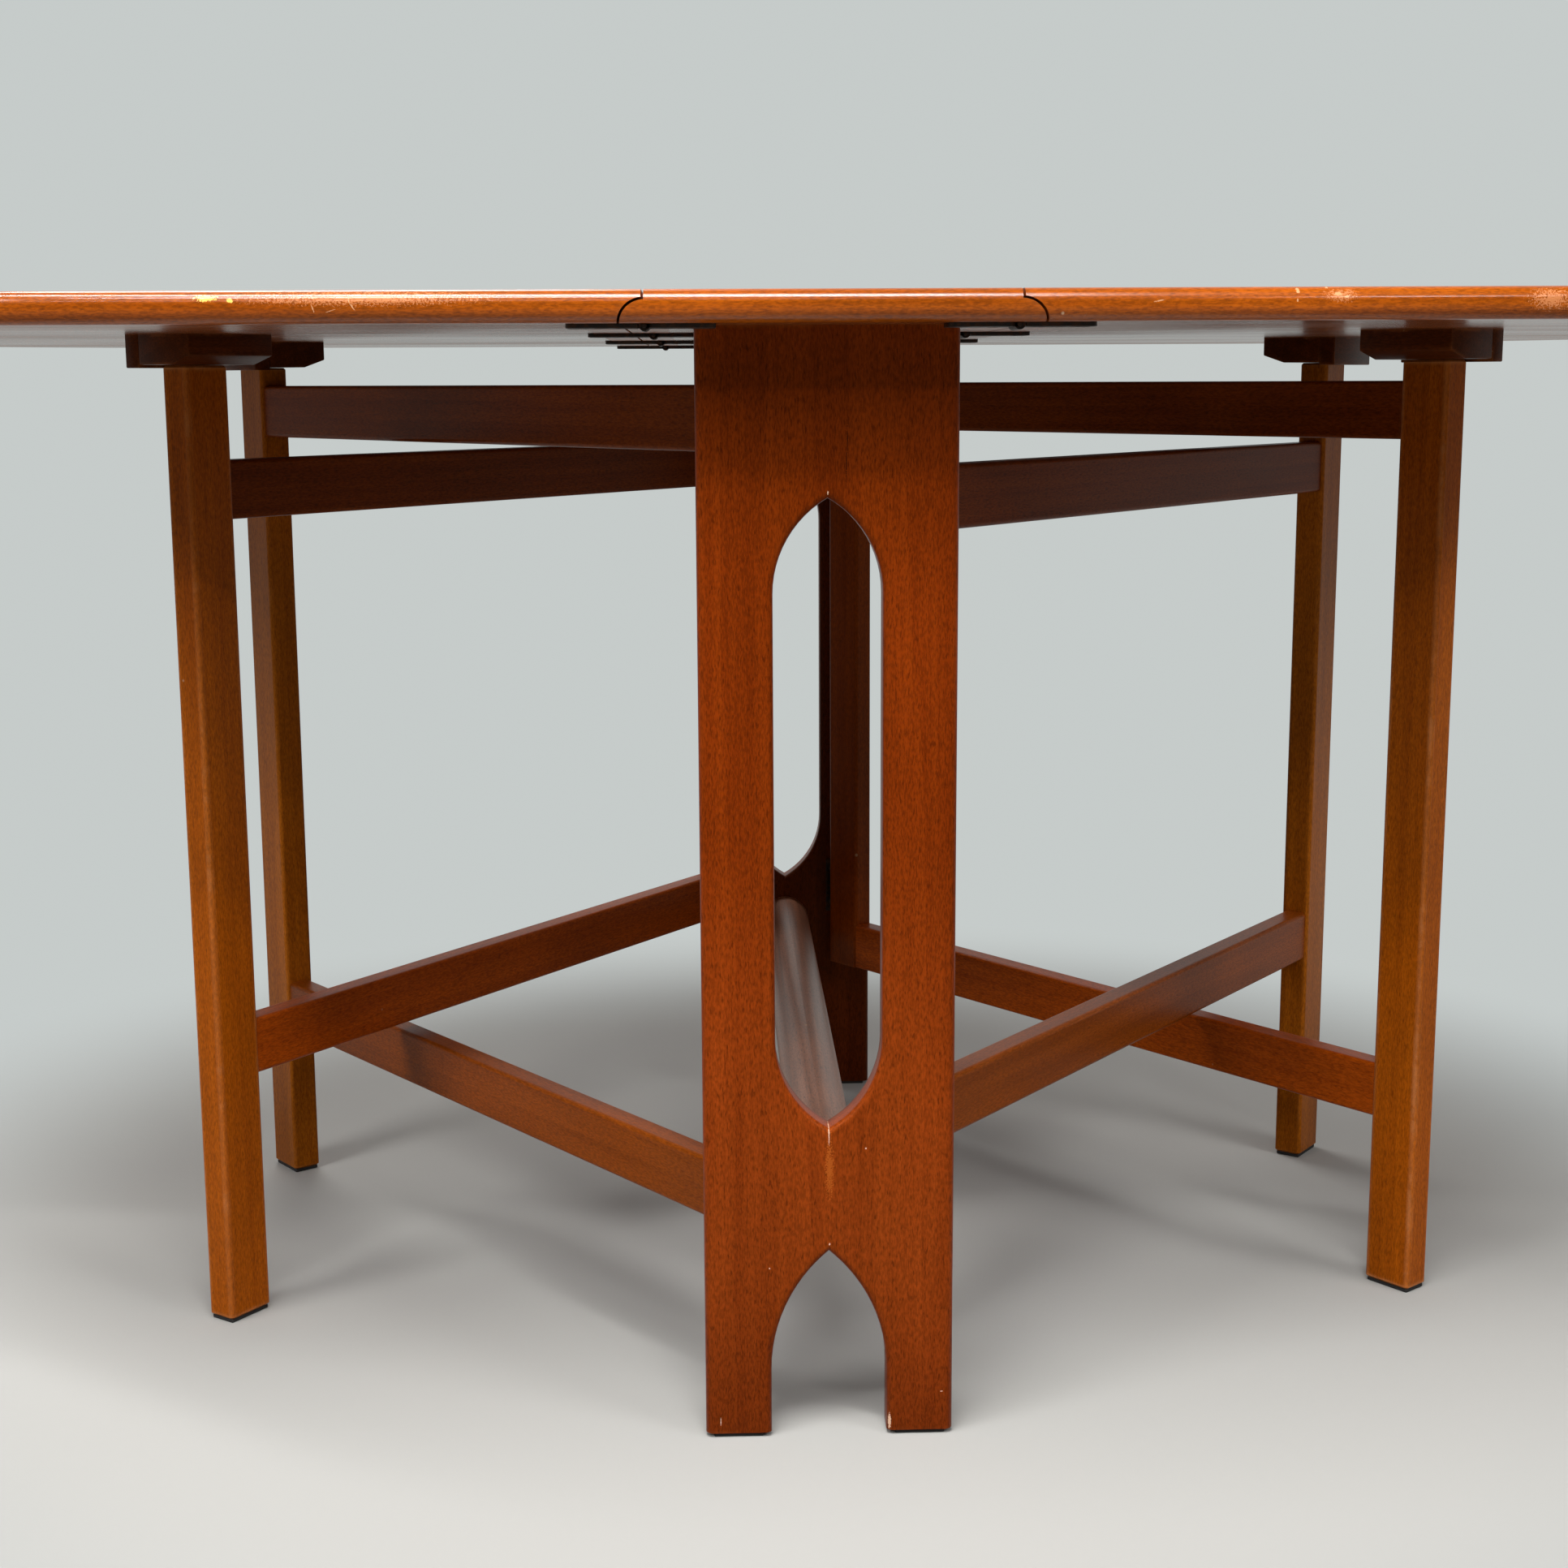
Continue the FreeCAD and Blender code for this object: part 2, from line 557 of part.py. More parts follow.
def gate_hinge_pins(rails_z):
    length = GATE_HINGE_HEIGHT + 2 * PIN_HEAD
    pins = []
    for z_middle in hinge_heights(rails_z):
        start = Vector(PIVOT_X, PIVOT_Y, z_middle - length / 2)
        pins.append(Part.makeCylinder(GATE_HINGE_PIN_R, length, start, Vector(0, 0, 1)))
    return Part.makeCompound(pins)


def support_block():
    """Block whose ramp leads the leg's top under it, and a deeper strip that stops the leg."""
    closing_x = RAIL_MIDDLE_X - BLOCK_CLOSING_REACH
    stop_x = RAIL_MIDDLE_X + LEG_THICKNESS / 2 + STOP_GAP
    y_span = (LEG_MIDDLE_Y - BLOCK_OUTER_REACH, LEG_MIDDLE_Y + BLOCK_INNER_REACH)
    profile = [(closing_x, TOP_UNDERSIDE_Z), (closing_x, BLOCK_BOTTOM_Z + RAMP_DROP),
               (closing_x + RAMP_RUN, BLOCK_BOTTOM_Z), (stop_x, BLOCK_BOTTOM_Z),
               (stop_x, TOP_UNDERSIDE_Z)]
    points = [Vector(x, y_span[0], z) for x, z in profile]
    edges = [line(a, b) for a, b in zip(points, points[1:] + points[:1])]
    block = prism(edges, Vector(0, y_span[1] - y_span[0], 0))
    strip = box((stop_x, stop_x + STOP_LIP_WIDTH), y_span,
                (BLOCK_BOTTOM_Z - STOP_LIP_DROP, TOP_UNDERSIDE_Z))
    return Part.makeCompound([block, strip])


def swing_open(shape, corner):
    """Turn a piece about the hinge pin from the shut place to that corner's open one."""
    opened = shape.copy()
    opened.rotate(Vector(PIVOT_X, PIVOT_Y, 0), Vector(0, 0, 1), GATE_OPEN_ANGLE[corner])
    return opened


def to_corner(shape, corner):
    """Move a piece from the near right leg's gate to another corner of the table."""
    mirrored = corner in ("near_left", "far_right")
    half_turn = corner in ("far_left", "far_right")
    placed = shape.copy()
    if mirrored:
        placed = placed.mirror(Vector(0, 0, 0), Vector(1, 0, 0))
    if half_turn:
        placed.rotate(Vector(0, 0, 0), Vector(0, 0, 1), 180)
    return placed


# ---------- build every node ----------

def half_turned(shape):
    turned = shape.copy()
    turned.rotate(Vector(0, 0, 0), Vector(0, 0, 1), 180)
    return turned


def frame_nodes(plate):
    panel = end_panel()
    cleat = top_cleat()
    pads = panel_pads()
    plates_right = Part.makeCompound([centre_plate(y) for y in LEAF_HINGE_Y])
    pins_right = Part.makeCompound([leaf_hinge_pin(y) for y in LEAF_HINGE_Y])
    return {
        "centre_board": centre_board(plate),
        "end_panel_far": panel,
        "end_panel_near": half_turned(panel),
        "centre_stretcher": centre_stretcher(),
        "top_cleat_far": cleat,
        "top_cleat_near": half_turned(cleat),
        "panel_pads_far": pads,
        "panel_pads_near": half_turned(pads),
        "centre_hinge_plates_right": plates_right,
        "centre_hinge_plates_left": half_turned(plates_right),
        "leaf_hinge_pins_right": pins_right,
        "leaf_hinge_pins_left": half_turned(pins_right),
    }


def leaf_nodes(plate):
    straps_right = Part.makeCompound([leaf_strap(y) for y in LEAF_HINGE_Y])
    return {
        "leaf_right": leaf_board(plate, 1),
        "leaf_left": leaf_board(plate, -1),
        "leaf_hinge_straps_right": straps_right,
        "leaf_hinge_straps_left": half_turned(straps_right),
    }


def gate_nodes(corner):
    """All pieces of one gate, the hinge leaves that carry it and the block it supports."""
    runs_past_rails = corner in ("near_right", "far_left")
    rails_z = OUTER_RAILS_Z if runs_past_rails else NESTED_RAILS_Z
    swinging = {
        "leg": leg(rails_z),
        "stile": stile(rails_z, runs_past_rails),
        "lower_rail": rail(rails_z[0], runs_past_rails),
        "top_rail": rail(rails_z[1], runs_past_rails),
        "leg_pad": leg_pad(),
        "gate_hinge_leaves": gate_hinge_leaves(rails_z),
        "support_block": support_block(),
    }
    fixed = {
        "panel_hinge_leaves": panel_hinge_leaves(rails_z),
        "gate_hinge_pins": gate_hinge_pins(rails_z),
    }
    nodes = {}
    for name, shape in swinging.items():
        nodes[name + "_" + corner] = to_corner(swing_open(shape, corner), corner)
    for name, shape in fixed.items():
        nodes[name + "_" + corner] = to_corner(shape, corner)
    return nodes


def build():
    plate = whole_top()
    nodes = frame_nodes(plate)
    nodes.update(leaf_nodes(plate))
    for corner in ("near_right", "near_left", "far_left", "far_right"):
        nodes.update(gate_nodes(corner))
    return nodes


os.makedirs("parts", exist_ok=True)
for node_name, node_shape in sorted(build().items()):
    node_shape.exportStep("parts/" + node_name + ".step")
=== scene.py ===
import bpy
import json
import math
from mathutils import Matrix, Vector

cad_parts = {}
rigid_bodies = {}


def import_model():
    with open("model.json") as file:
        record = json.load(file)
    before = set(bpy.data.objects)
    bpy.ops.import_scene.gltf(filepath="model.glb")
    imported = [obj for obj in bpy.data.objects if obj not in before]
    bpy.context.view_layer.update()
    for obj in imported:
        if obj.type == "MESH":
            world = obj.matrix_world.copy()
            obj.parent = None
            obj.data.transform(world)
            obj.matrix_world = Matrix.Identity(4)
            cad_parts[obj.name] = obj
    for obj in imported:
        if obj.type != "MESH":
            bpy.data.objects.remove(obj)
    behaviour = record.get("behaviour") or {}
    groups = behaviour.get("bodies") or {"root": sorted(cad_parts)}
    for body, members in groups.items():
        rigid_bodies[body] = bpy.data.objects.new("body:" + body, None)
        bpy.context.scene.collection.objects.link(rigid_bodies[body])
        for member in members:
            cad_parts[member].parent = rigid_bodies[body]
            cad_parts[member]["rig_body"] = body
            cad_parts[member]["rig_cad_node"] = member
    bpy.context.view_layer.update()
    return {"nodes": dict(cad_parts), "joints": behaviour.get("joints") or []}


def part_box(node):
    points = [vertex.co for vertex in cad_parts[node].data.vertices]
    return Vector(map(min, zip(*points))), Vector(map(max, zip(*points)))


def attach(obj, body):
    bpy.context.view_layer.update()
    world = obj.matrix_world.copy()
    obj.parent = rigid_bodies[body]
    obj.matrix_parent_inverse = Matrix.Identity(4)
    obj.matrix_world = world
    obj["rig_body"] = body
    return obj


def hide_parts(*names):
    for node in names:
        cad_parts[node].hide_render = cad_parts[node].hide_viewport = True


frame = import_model()
nodes = frame["nodes"]

# ==== Camera ====
# Stands in front of the near end panel, a little to its left, just under the
# height of the top, and looks slightly down.

CAMERA_PLACE = Vector((-0.0767, -1.7685, 0.6717))
CAMERA_YAW = math.radians(2.047)  # to the right
CAMERA_PITCH = math.radians(9.992)  # down
CAMERA_ROLL = math.radians(-0.290)
CAMERA_LENS = 52.60  # mm, on a 36 mm sensor

ahead = Vector((math.sin(CAMERA_YAW) * math.cos(CAMERA_PITCH),
                math.cos(CAMERA_YAW) * math.cos(CAMERA_PITCH),
                -math.sin(CAMERA_PITCH)))
level_right = Vector((math.cos(CAMERA_YAW), -math.sin(CAMERA_YAW), 0))
level_up = level_right.cross(ahead)
roll_cos = math.cos(CAMERA_ROLL)
roll_sin = math.sin(CAMERA_ROLL)
camera_right = roll_cos * level_right + roll_sin * level_up
camera_up = roll_cos * level_up - roll_sin * level_right
turned = Matrix((camera_right, camera_up, -ahead)).transposed().to_4x4()
bpy.ops.object.camera_add()
camera = bpy.context.object
camera.data.lens = CAMERA_LENS
camera.matrix_world = Matrix.Translation(CAMERA_PLACE) @ turned
bpy.context.scene.camera = camera

# ==== Studio ====
# A pale floor that fades into a pale background. A long strip lamp high in
# front throws the top's shadow on the panel, soft lamps fill from the sides,
# overhead and behind, and three thin strips give the rim its highlights.

BACKGROUND = (0.565, 0.600, 0.590, 1)
FLOOR_COLOUR = (0.42, 0.415, 0.395, 1)
FLOOR_BOUNCE = (0.17, 0.165, 0.155, 1)  # what the floor sends back up on to the wood
FLOOR_SIZE = 80.0
FLOOR_FADE = (0.55, 1.05)  # metres from the table over which the floor fades
SKY_TURN = (0.05, 0.9)  # the sky's front becomes its back over this Y
FILL_BEHIND = 0.45  # sky light from behind the table
FILL_IN_FRONT = 0.03  # and from the side of the camera
GLOSS_IN_FRONT = 0.03  # how much background shows in gloss from the front
GLOSS_OFF_FLOOR = 0.30  # and how much of the floor's own glow there
FLOOR_TURN = (-0.5, 0.6)  # that glow comes back in full over this Y
LAMP_TARGET = Vector((0, 0, 0.45))
LAMPS = (  # name, place, width and height, watts
    ("front_strip", Vector((-0.34, -2.41, 3.62)), (2.20, 0.12), 62.0),
    ("left_softbox", Vector((-2.50, -2.10, 2.53)), (1.20, 1.20), 60.0),
    ("right_softbox", Vector((2.50, -2.10, 2.53)), (1.20, 1.20), 46.0),
    ("overhead_softbox", Vector((-0.20, -1.60, 3.30)), (1.60, 1.00), 36.0),
    ("far_softbox", Vector((-0.85, 1.90, 2.90)), (1.30, 0.80), 40.0),
    ("rim_strip", Vector((-0.62, -0.91, 2.75)), (2.30, 0.12), 58.0),
    ("window_strip", Vector((-0.80, -3.85, 2.89)), (2.60, 0.05), 12.0),
    ("side_window", Vector((1.68, -3.85, 2.89)), (0.32, 0.05), 9.0),
)

bpy.context.scene.view_settings.view_transform = "Standard"


def feed(tree, node, sockets):
    """Give a node's sockets, by name or number, other nodes' outputs or plain values."""
    for key, value in sockets.items():
        if isinstance(value, bpy.types.NodeSocket):
            tree.links.new(value, node.inputs[key])
        else:
            node.inputs[key].default_value = value


def add_node(tree, kind, sockets=None, **settings):
    """Make a node, set its properties and feed its sockets."""
    node = tree.nodes.new(kind)
    for key, value in settings.items():
        setattr(node, key, value)
    feed(tree, node, sockets or {})
    return node


def math_node(tree, operation, first, second=0.5, clamp=False):
    return add_node(tree, "ShaderNodeMath", {0: first, 1: second},
                    operation=operation, use_clamp=clamp).outputs[0]


def times(tree, first, second, clamp=False):
    return math_node(tree, "MULTIPLY", first, second, clamp)


def between(tree, value, low, high, to_low=0.0, to_high=1.0):
    """Map a range of values smoothly on to another, clamped at both ends."""
    return add_node(tree, "ShaderNodeMapRange",
                    {"Value": value, "From Min": low, "From Max": high,
                     "To Min": to_low, "To Max": to_high},
                    interpolation_type="SMOOTHSTEP").outputs[0]


def mix_colours(tree, factor, first, second, blend="MIX"):
    return add_node(tree, "ShaderNodeMix", {"Factor": factor, "A": first, "B": second},
                    data_type="RGBA", blend_type=blend).outputs["Result"]


def mix_shaders(tree, factor, first, second, output):
    """Mix two shaders and send them to the tree's output."""
    mixed = add_node(tree, "ShaderNodeMixShader",
                     {0: factor, 1: first.outputs[0], 2: second.outputs[0]})
    add_node(tree, output, {0: mixed.outputs[0]})


def coordinate(tree, vector, axis):
    return add_node(tree, "ShaderNodeSeparateXYZ", {0: vector}).outputs[axis]


def object_place(tree):
    return add_node(tree, "ShaderNodeTexCoord").outputs["Object"]


def rays(tree):
    """Masks for the camera's rays, for those in gloss, and for both."""
    path = add_node(tree, "ShaderNodeLightPath").outputs
    camera_ray, gloss_ray = path["Is Camera Ray"], path["Is Glossy Ray"]
    return camera_ray, gloss_ray, math_node(tree, "MAXIMUM", camera_ray, gloss_ray)


def new_material(name):
    """Material with nodes; gives it and its tree."""
    material = bpy.data.materials.new(name)
    material.use_nodes = True
    return material, material.node_tree


def area_lamp(name, place, size, power):
    """Rectangular soft lamp that faces the middle of the table."""
    bpy.ops.object.light_add(type="AREA")
    lamp = bpy.context.object
    lamp.name = name
    lamp.data.shape = "RECTANGLE"
    lamp.data.size = size[0]
    lamp.data.size_y = size[1]
    lamp.data.energy = power
    facing = (LAMP_TARGET - place).to_track_quat("-Z", "Y").to_matrix().to_4x4()
    lamp.matrix_world = Matrix.Translation(place) @ facing
    lamp.visible_camera = False


for lamp_name, lamp_place, lamp_size, lamp_power in LAMPS:
    area_lamp(lamp_name, lamp_place, lamp_size, lamp_power)

world = bpy.data.worlds.new("studio")
world.use_nodes = True
bpy.context.scene.world = world
sky = world.node_tree
sky.nodes.clear()
camera_ray, _, seen = rays(sky)
sky_y = coordinate(sky, add_node(sky, "ShaderNodeTexCoord").outputs["Generated"], "Y")


def from_behind(in_front, behind):
    """Strength that grows from the camera's side of the table to the far side."""
    return between(sky, sky_y, *SKY_TURN, in_front, behind)


fill_light = add_node(sky, "ShaderNodeBackground",
                      {"Strength": from_behind(FILL_IN_FRONT, FILL_BEHIND)})
shown_strength = math_node(sky, "MAXIMUM", camera_ray, from_behind(GLOSS_IN_FRONT, 1.0))
shown = add_node(sky, "ShaderNodeBackground", {"Color": BACKGROUND, "Strength": shown_strength})
mix_shaders(sky, seen, fill_light, shown, "ShaderNodeOutputWorld")

bpy.ops.mesh.primitive_plane_add(size=FLOOR_SIZE)
floor = bpy.context.object
floor.name = "studio_floor"
floor_material, tree = new_material("pale_floor")
tree.nodes.clear()
place = object_place(tree)
away = add_node(tree, "ShaderNodeVectorMath", {0: place}, operation="LENGTH").outputs["Value"]
_, gloss_ray, seen = rays(tree)
matt = add_node(tree, "ShaderNodeBsdfDiffuse",
                {"Color": mix_colours(tree, seen, FLOOR_BOUNCE, FLOOR_COLOUR)})
dimmed = between(tree, coordinate(tree, place, "Y"), *FLOOR_TURN, 1 - GLOSS_OFF_FLOOR, 0.0)
glow_strength = math_node(tree, "SUBTRACT", 1.0, times(tree, dimmed, gloss_ray))
glow = add_node(tree, "ShaderNodeEmission", {"Color": BACKGROUND, "Strength": glow_strength})
mix_shaders(tree, between(tree, away, *FLOOR_FADE), matt, glow, "ShaderNodeOutputMaterial")
floor.data.materials.append(floor_material)

# ==== End panels ====
# Two upright boards of red-brown teak, cut with a tall pointed slot and a
# pointed foot arch and rounded over by a router. The grain runs upright under
# a satin lacquer that has rubbed thin and chipped along the edges.

GRAIN_UPRIGHT = (0, 0, 0)
PANEL_PALE = (0.330, 0.056, 0.0062, 1)
PANEL_DARK = (0.218, 0.033, 0.0035, 1)
PANEL_PORE = (0.090, 0.013, 0.0018, 1)
PANEL_DEEPER_HEIGHTS = (0.14, 0.42)  # above this the colour is deeper and redder
PANEL_DEEPER_TONE = (0.70, 0.59, 0.32, 1)
FOOT_HEIGHTS = (0.13, 0.00)  # and it darkens again down to the feet
FOOT_TONE = (0.70, 0.66, 0.70, 1)
NICK_AND_HIGHLIGHT_TONE = (0.78, 0.50, 0.33, 1)
CRACK_TONE = (0.030, 0.006, 0.0015, 1)
PANEL_NICKS_AND_HIGHLIGHT = (  # middle, half the size on each axis, and lean in degrees
    ((0.0000, -0.3780, 0.2010), (0.0005, 0.0140, 0.0070), 0),  # split in the slot's lower point
    # painted highlight: a pale mark on the rounding at the slot's upper point
    ((0.0000, -0.3850, 0.6050), (0.0004, 0.0040, 0.0014), 0),
    ((0.0002, -0.3850, 0.1302), (0.0005, 0.0040, 0.0008), 0),
    ((0.0234, -0.3855, 0.1935), (0.0005, 0.0040, 0.0005), 0),
    ((-0.0381, -0.3855, 0.1147), (0.0005, 0.0040, 0.0006), 0),
    ((0.0724, -0.3855, 0.0291), (0.0010, 0.0040, 0.0004), 0),
    ((0.0389, -0.3848, 0.0092), (0.0010, 0.0040, 0.0056), 0),  # bare chip on a foot's inner edge
    ((-0.0700, -0.3855, 0.0110), (0.0003, 0.0040, 0.0030), 0),
)
PALE_STREAKS = (((0.0003, -0.3855, 0.1800), (0.0022, 0.0040, 0.0150), 0),)
STREAK_TONE = (0.390, 0.085, 0.011, 1)
PANEL_CRACKS = (
    ((0.0117, -0.3855, 0.6370), (0.0003, 0.0040, 0.0075), 0),
    ((0.0111, -0.3855, 0.6220), (0.0003, 0.0040, 0.0080), 0),
)
SHADED_INNER_DEPTHS = (0.376, 0.3645)  # the inner faces are painted darker: painted shade
INNER_PAINTED_SHADE = (0.42, 0.44, 0.60, 1)
RUBBED_TONE = (0.42, 0.120, 0.030, 1)
BARE_WOOD = (0.72, 0.47, 0.27, 1)
SHEEN_TINT = (1.0, 0.55, 0.25, 1)
BAND_SHARE = 0.62  # of the grain's tone; fine streaks give the rest
GRAIN_TONES = (0.18, 0.82)  # noise levels of the darkest and the palest grain
PORE_LEVELS = (0.56, 0.70)  # noise levels where a pore begins and is full
FLECK_SHADES = (0.34, 0.66, 0.78, 1.22)  # noise levels, and the brightness they give
PATCH_SHADES = (0.30, 0.70, 0.84, 1.14)
PATCH_ROUGHNESS = (0.25, 0.75, 0.30, 0.42)  # noise levels, and the roughness they give
FLECK_HEIGHT = 0.6  # against the depth of a pore
EDGE_TURN = (0.004, 0.11)  # how far the surface turns where wear begins and is full
RUB_LEVELS = (0.40, 0.68)
SPOT_RADII = (0.085, 0.05)  # a chip's edge and its full depth, in its cell
SPOT_ODDS = (0.955, 0.965)  # a cell has a chip when its random number is above these
RAGGED_LEVELS = (0.66, 0.70)
CHIP_ROUGHNESS = 0.35  # added where the lacquer is gone
CHIP_DEPTH = 2.0  # against the depth of a pore
RELIEF = 0.00012  # depth of a pore
MARK_EDGE = (1.05, 0.75)  # a mark begins and is full at these shares of its size
NOISE_SPREAD = (0.3, 0.7)  # nearly all noise lies between these

COLOUR = "NodeSocketColor"
NUMBER = "NodeSocketFloat"
VECTOR = "NodeSocketVector"


def new_group(name, inputs, outputs):
    """Empty shader node group with named sockets; gives the tree, its entry and its exit."""
    group = bpy.data.node_groups.new(name, "ShaderNodeTree")
    for label, kind, value in inputs:
        socket = group.interface.new_socket(label, in_out="INPUT", socket_type=kind)
        if value is not None:
            socket.default_value = value
    for label, kind in outputs:
        group.interface.new_socket(label, in_out="OUTPUT", socket_type=kind)
    entry = group.nodes.new("NodeGroupInput")
    leave = group.nodes.new("NodeGroupOutput")
    return group, entry, leave


def noise(tree, vector, scale, detail=2.0, roughness=0.5, distortion=0.0):
    return add_node(tree, "ShaderNodeTexNoise",
                    {"Vector": vector, "Scale": scale, "Detail": detail,
                     "Roughness": roughness, "Distortion": distortion}).outputs["Fac"]


def build_grain_group():
    """Straight-grained timber. The grain runs along the vector's Z."""
    group, entry, leave = new_group(
        "timber_grain",
        [("Vector", VECTOR, None), ("Pale", COLOUR, None), ("Dark", COLOUR, None),
         ("Pore", COLOUR, None), ("Figure", NUMBER, 0.4), ("Pores", NUMBER, 0.5)],
        [("Color", COLOUR), ("Height", NUMBER), ("Gloss", NUMBER)])

    def drawn_out(share):
        """Place in the timber, with its length along the grain cut to a share."""
        return add_node(group, "ShaderNodeVectorMath",
                        {0: entry.outputs["Vector"], 1: (1, 1, share)},
                        operation="MULTIPLY").outputs[0]

    bands = noise(group, drawn_out(0.030), scale=95.0, detail=3.0, roughness=0.55,
                  distortion=0.4)
    streaks = noise(group, drawn_out(0.030), scale=420.0, roughness=0.6)
    rings = add_node(group, "ShaderNodeTexWave",
                     {"Vector": drawn_out(0.09), "Scale": 24.0, "Distortion": 5.0,
                      "Detail": 2.5, "Detail Scale": 0.35},
                     wave_type="RINGS", rings_direction="Z", wave_profile="SAW")
    pores = noise(group, drawn_out(0.22), scale=760.0, detail=1.0)
    flecks = noise(group, drawn_out(0.26), scale=1050.0, roughness=0.6)
    patches = noise(group, drawn_out(0.35), scale=9.0)

    straight = math_node(group, "ADD", times(group, bands, BAND_SHARE),
                         times(group, streaks, 1 - BAND_SHARE))
    ringed = times(group, rings.outputs["Fac"], entry.outputs["Figure"])
    tone = math_node(group, "SUBTRACT", between(group, straight, *GRAIN_TONES), ringed, clamp=True)
    colour = mix_colours(group, tone, entry.outputs["Dark"], entry.outputs["Pale"])
    pore_mask = times(group, between(group, pores, *PORE_LEVELS), entry.outputs["Pores"])
    colour = mix_colours(group, pore_mask, colour, entry.outputs["Pore"])
    brightness = times(group, between(group, patches, *PATCH_SHADES),
                       between(group, flecks, *FLECK_SHADES))
    shade = add_node(group, "ShaderNodeHueSaturation", {"Value": brightness, "Color": colour})
    height = math_node(group, "SUBTRACT", times(group, flecks, FLECK_HEIGHT), pore_mask)
    feed(group, leave, {"Color": shade.outputs[0], "Height": height,
                        "Gloss": between(group, patches, *PATCH_ROUGHNESS)})
    return group


def build_wear_group():
    """Masks for edges rubbed pale by hands and for small chips down to bare wood."""
    group, entry, leave = new_group(
        "edge_wear",
        [("Vector", VECTOR, None), ("Reach", NUMBER, 0.004), ("Rub", NUMBER, 0.5),
         ("Even", NUMBER, 0.0), ("Chips", NUMBER, 0.3)],
        [("Rubbed", NUMBER), ("Chipped", NUMBER)])
    vector = entry.outputs["Vector"]
    rounded = add_node(group, "ShaderNodeBevel", {"Radius": entry.outputs["Reach"]}, samples=4)
    surface = add_node(group, "ShaderNodeNewGeometry")
    turn = add_node(group, "ShaderNodeVectorMath",
                    {0: rounded.outputs[0], 1: surface.outputs["Normal"]},
                    operation="DOT_PRODUCT").outputs["Value"]
    edge = between(group, math_node(group, "SUBTRACT", 1.0, turn), *EDGE_TURN)
    cloudy = noise(group, vector, scale=38.0, detail=4.0, roughness=0.6)
    soft = between(group, cloudy, *RUB_LEVELS)
    steady = math_node(group, "MAXIMUM", soft, entry.outputs["Even"])
    rubbed = times(group, times(group, edge, steady), entry.outputs["Rub"], clamp=True)
    cells = add_node(group, "ShaderNodeTexVoronoi", {"Vector": vector, "Scale": 46.0})
    spot_edge, spot_full = SPOT_RADII
    near = between(group, cells.outputs["Distance"], spot_full, spot_edge, 1.0, 0.0)
    lot = add_node(group, "ShaderNodeSeparateColor", {0: cells.outputs["Color"]}).outputs[0]
    spots = times(group, near, between(group, lot, *SPOT_ODDS))
    rough = noise(group, vector, scale=210.0, detail=3.0, roughness=0.7)
    edge_chips = times(group, times(group, edge, between(group, rough, *RAGGED_LEVELS)), soft)
    chips = math_node(group, "MAXIMUM", spots, edge_chips)
    chipped = times(group, chips, entry.outputs["Chips"], clamp=True)
    feed(group, leave, {"Rubbed": rubbed, "Chipped": chipped})
    return group


grain_group = build_grain_group()
wear_group = build_wear_group()


def bumped(tree, height, strength, distance):
    """Normal of a surface with fine relief."""
    sockets = {"Height": height, "Strength": strength, "Distance": distance}
    return add_node(tree, "ShaderNodeBump", sockets).outputs[0]


def timber(name, turn, pale, dark, pore, figure, rub, chips, pores=0.5, even=0.0,
           shift=(0, 0, 0), sheen=0.13, coat=0.0, polish=0.0, reach=0.004,
           sheen_tint=SHEEN_TINT, rub_tone=RUBBED_TONE):
    """Lacquered wood whose grain follows the piece; turn lays the piece's length along Z."""
    material, tree = new_material(name)
    place = object_place(tree)
    lay = add_node(tree, "ShaderNodeMapping",
                   {"Vector": place, "Rotation": turn, "Location": shift}, vector_type="TEXTURE")
    grain = add_node(tree, "ShaderNodeGroup", node_tree=grain_group)
    feed(tree, grain, {"Vector": lay.outputs[0], "Pale": pale, "Dark": dark, "Pore": pore,
                       "Figure": figure, "Pores": pores})
    wear = add_node(tree, "ShaderNodeGroup", node_tree=wear_group)
    feed(tree, wear, {"Vector": place, "Reach": reach, "Rub": rub, "Even": even, "Chips": chips})
    chipped = wear.outputs["Chipped"]
    worn = mix_colours(tree, wear.outputs["Rubbed"], grain.outputs["Color"], rub_tone)
    polished = math_node(tree, "SUBTRACT", grain.outputs["Gloss"], polish)
    height = math_node(tree, "SUBTRACT", grain.outputs["Height"], times(tree, chipped, CHIP_DEPTH))
    feed(tree, tree.nodes["Principled BSDF"], {
        "Base Color": mix_colours(tree, chipped, worn, BARE_WOOD),
        "Roughness": math_node(tree, "ADD", polished, times(tree, chipped, CHIP_ROUGHNESS)),
        "Normal": bumped(tree, height, strength=0.6, distance=RELIEF),
        "Specular IOR Level": sheen,
        "Specular Tint": sheen_tint,
        "Coat Weight": coat,
        "Coat Roughness": 0.19,
        "Coat IOR": 1.6,
    })
    return material


def finish_node(name, material):
    """Dress a CAD node whose shape is right."""
    nodes[name].material_slots[0].material = material


panel_wood = timber("panel_teak", GRAIN_UPRIGHT, PANEL_PALE, PANEL_DARK, PANEL_PORE,
                    figure=0.30, pores=0.55, rub=0.30, chips=0.8, shift=(0.30, 0.9, 0))


def colour_so_far(material):
    """A material's tree, and what feeds its colour before one more layer."""
    tree = material.node_tree
    return tree, tree.nodes["Principled BSDF"].inputs["Base Color"].links[0].from_socket


def recolour(tree, colour):
    feed(tree, tree.nodes["Principled BSDF"], {"Base Color": colour})


def graded_tone_and_shade(material, reaches, tone, axis="Z"):
    """Tint a material from one distance to another along an axis, fully at the second; it paints
    wood tone and also painted shade.
    """
    tree, before = colour_so_far(material)
    distance = math_node(tree, "ABSOLUTE", coordinate(tree, object_place(tree), axis))
    recolour(tree, mix_colours(tree, between(tree, distance, *reaches), before, tone, "MULTIPLY"))


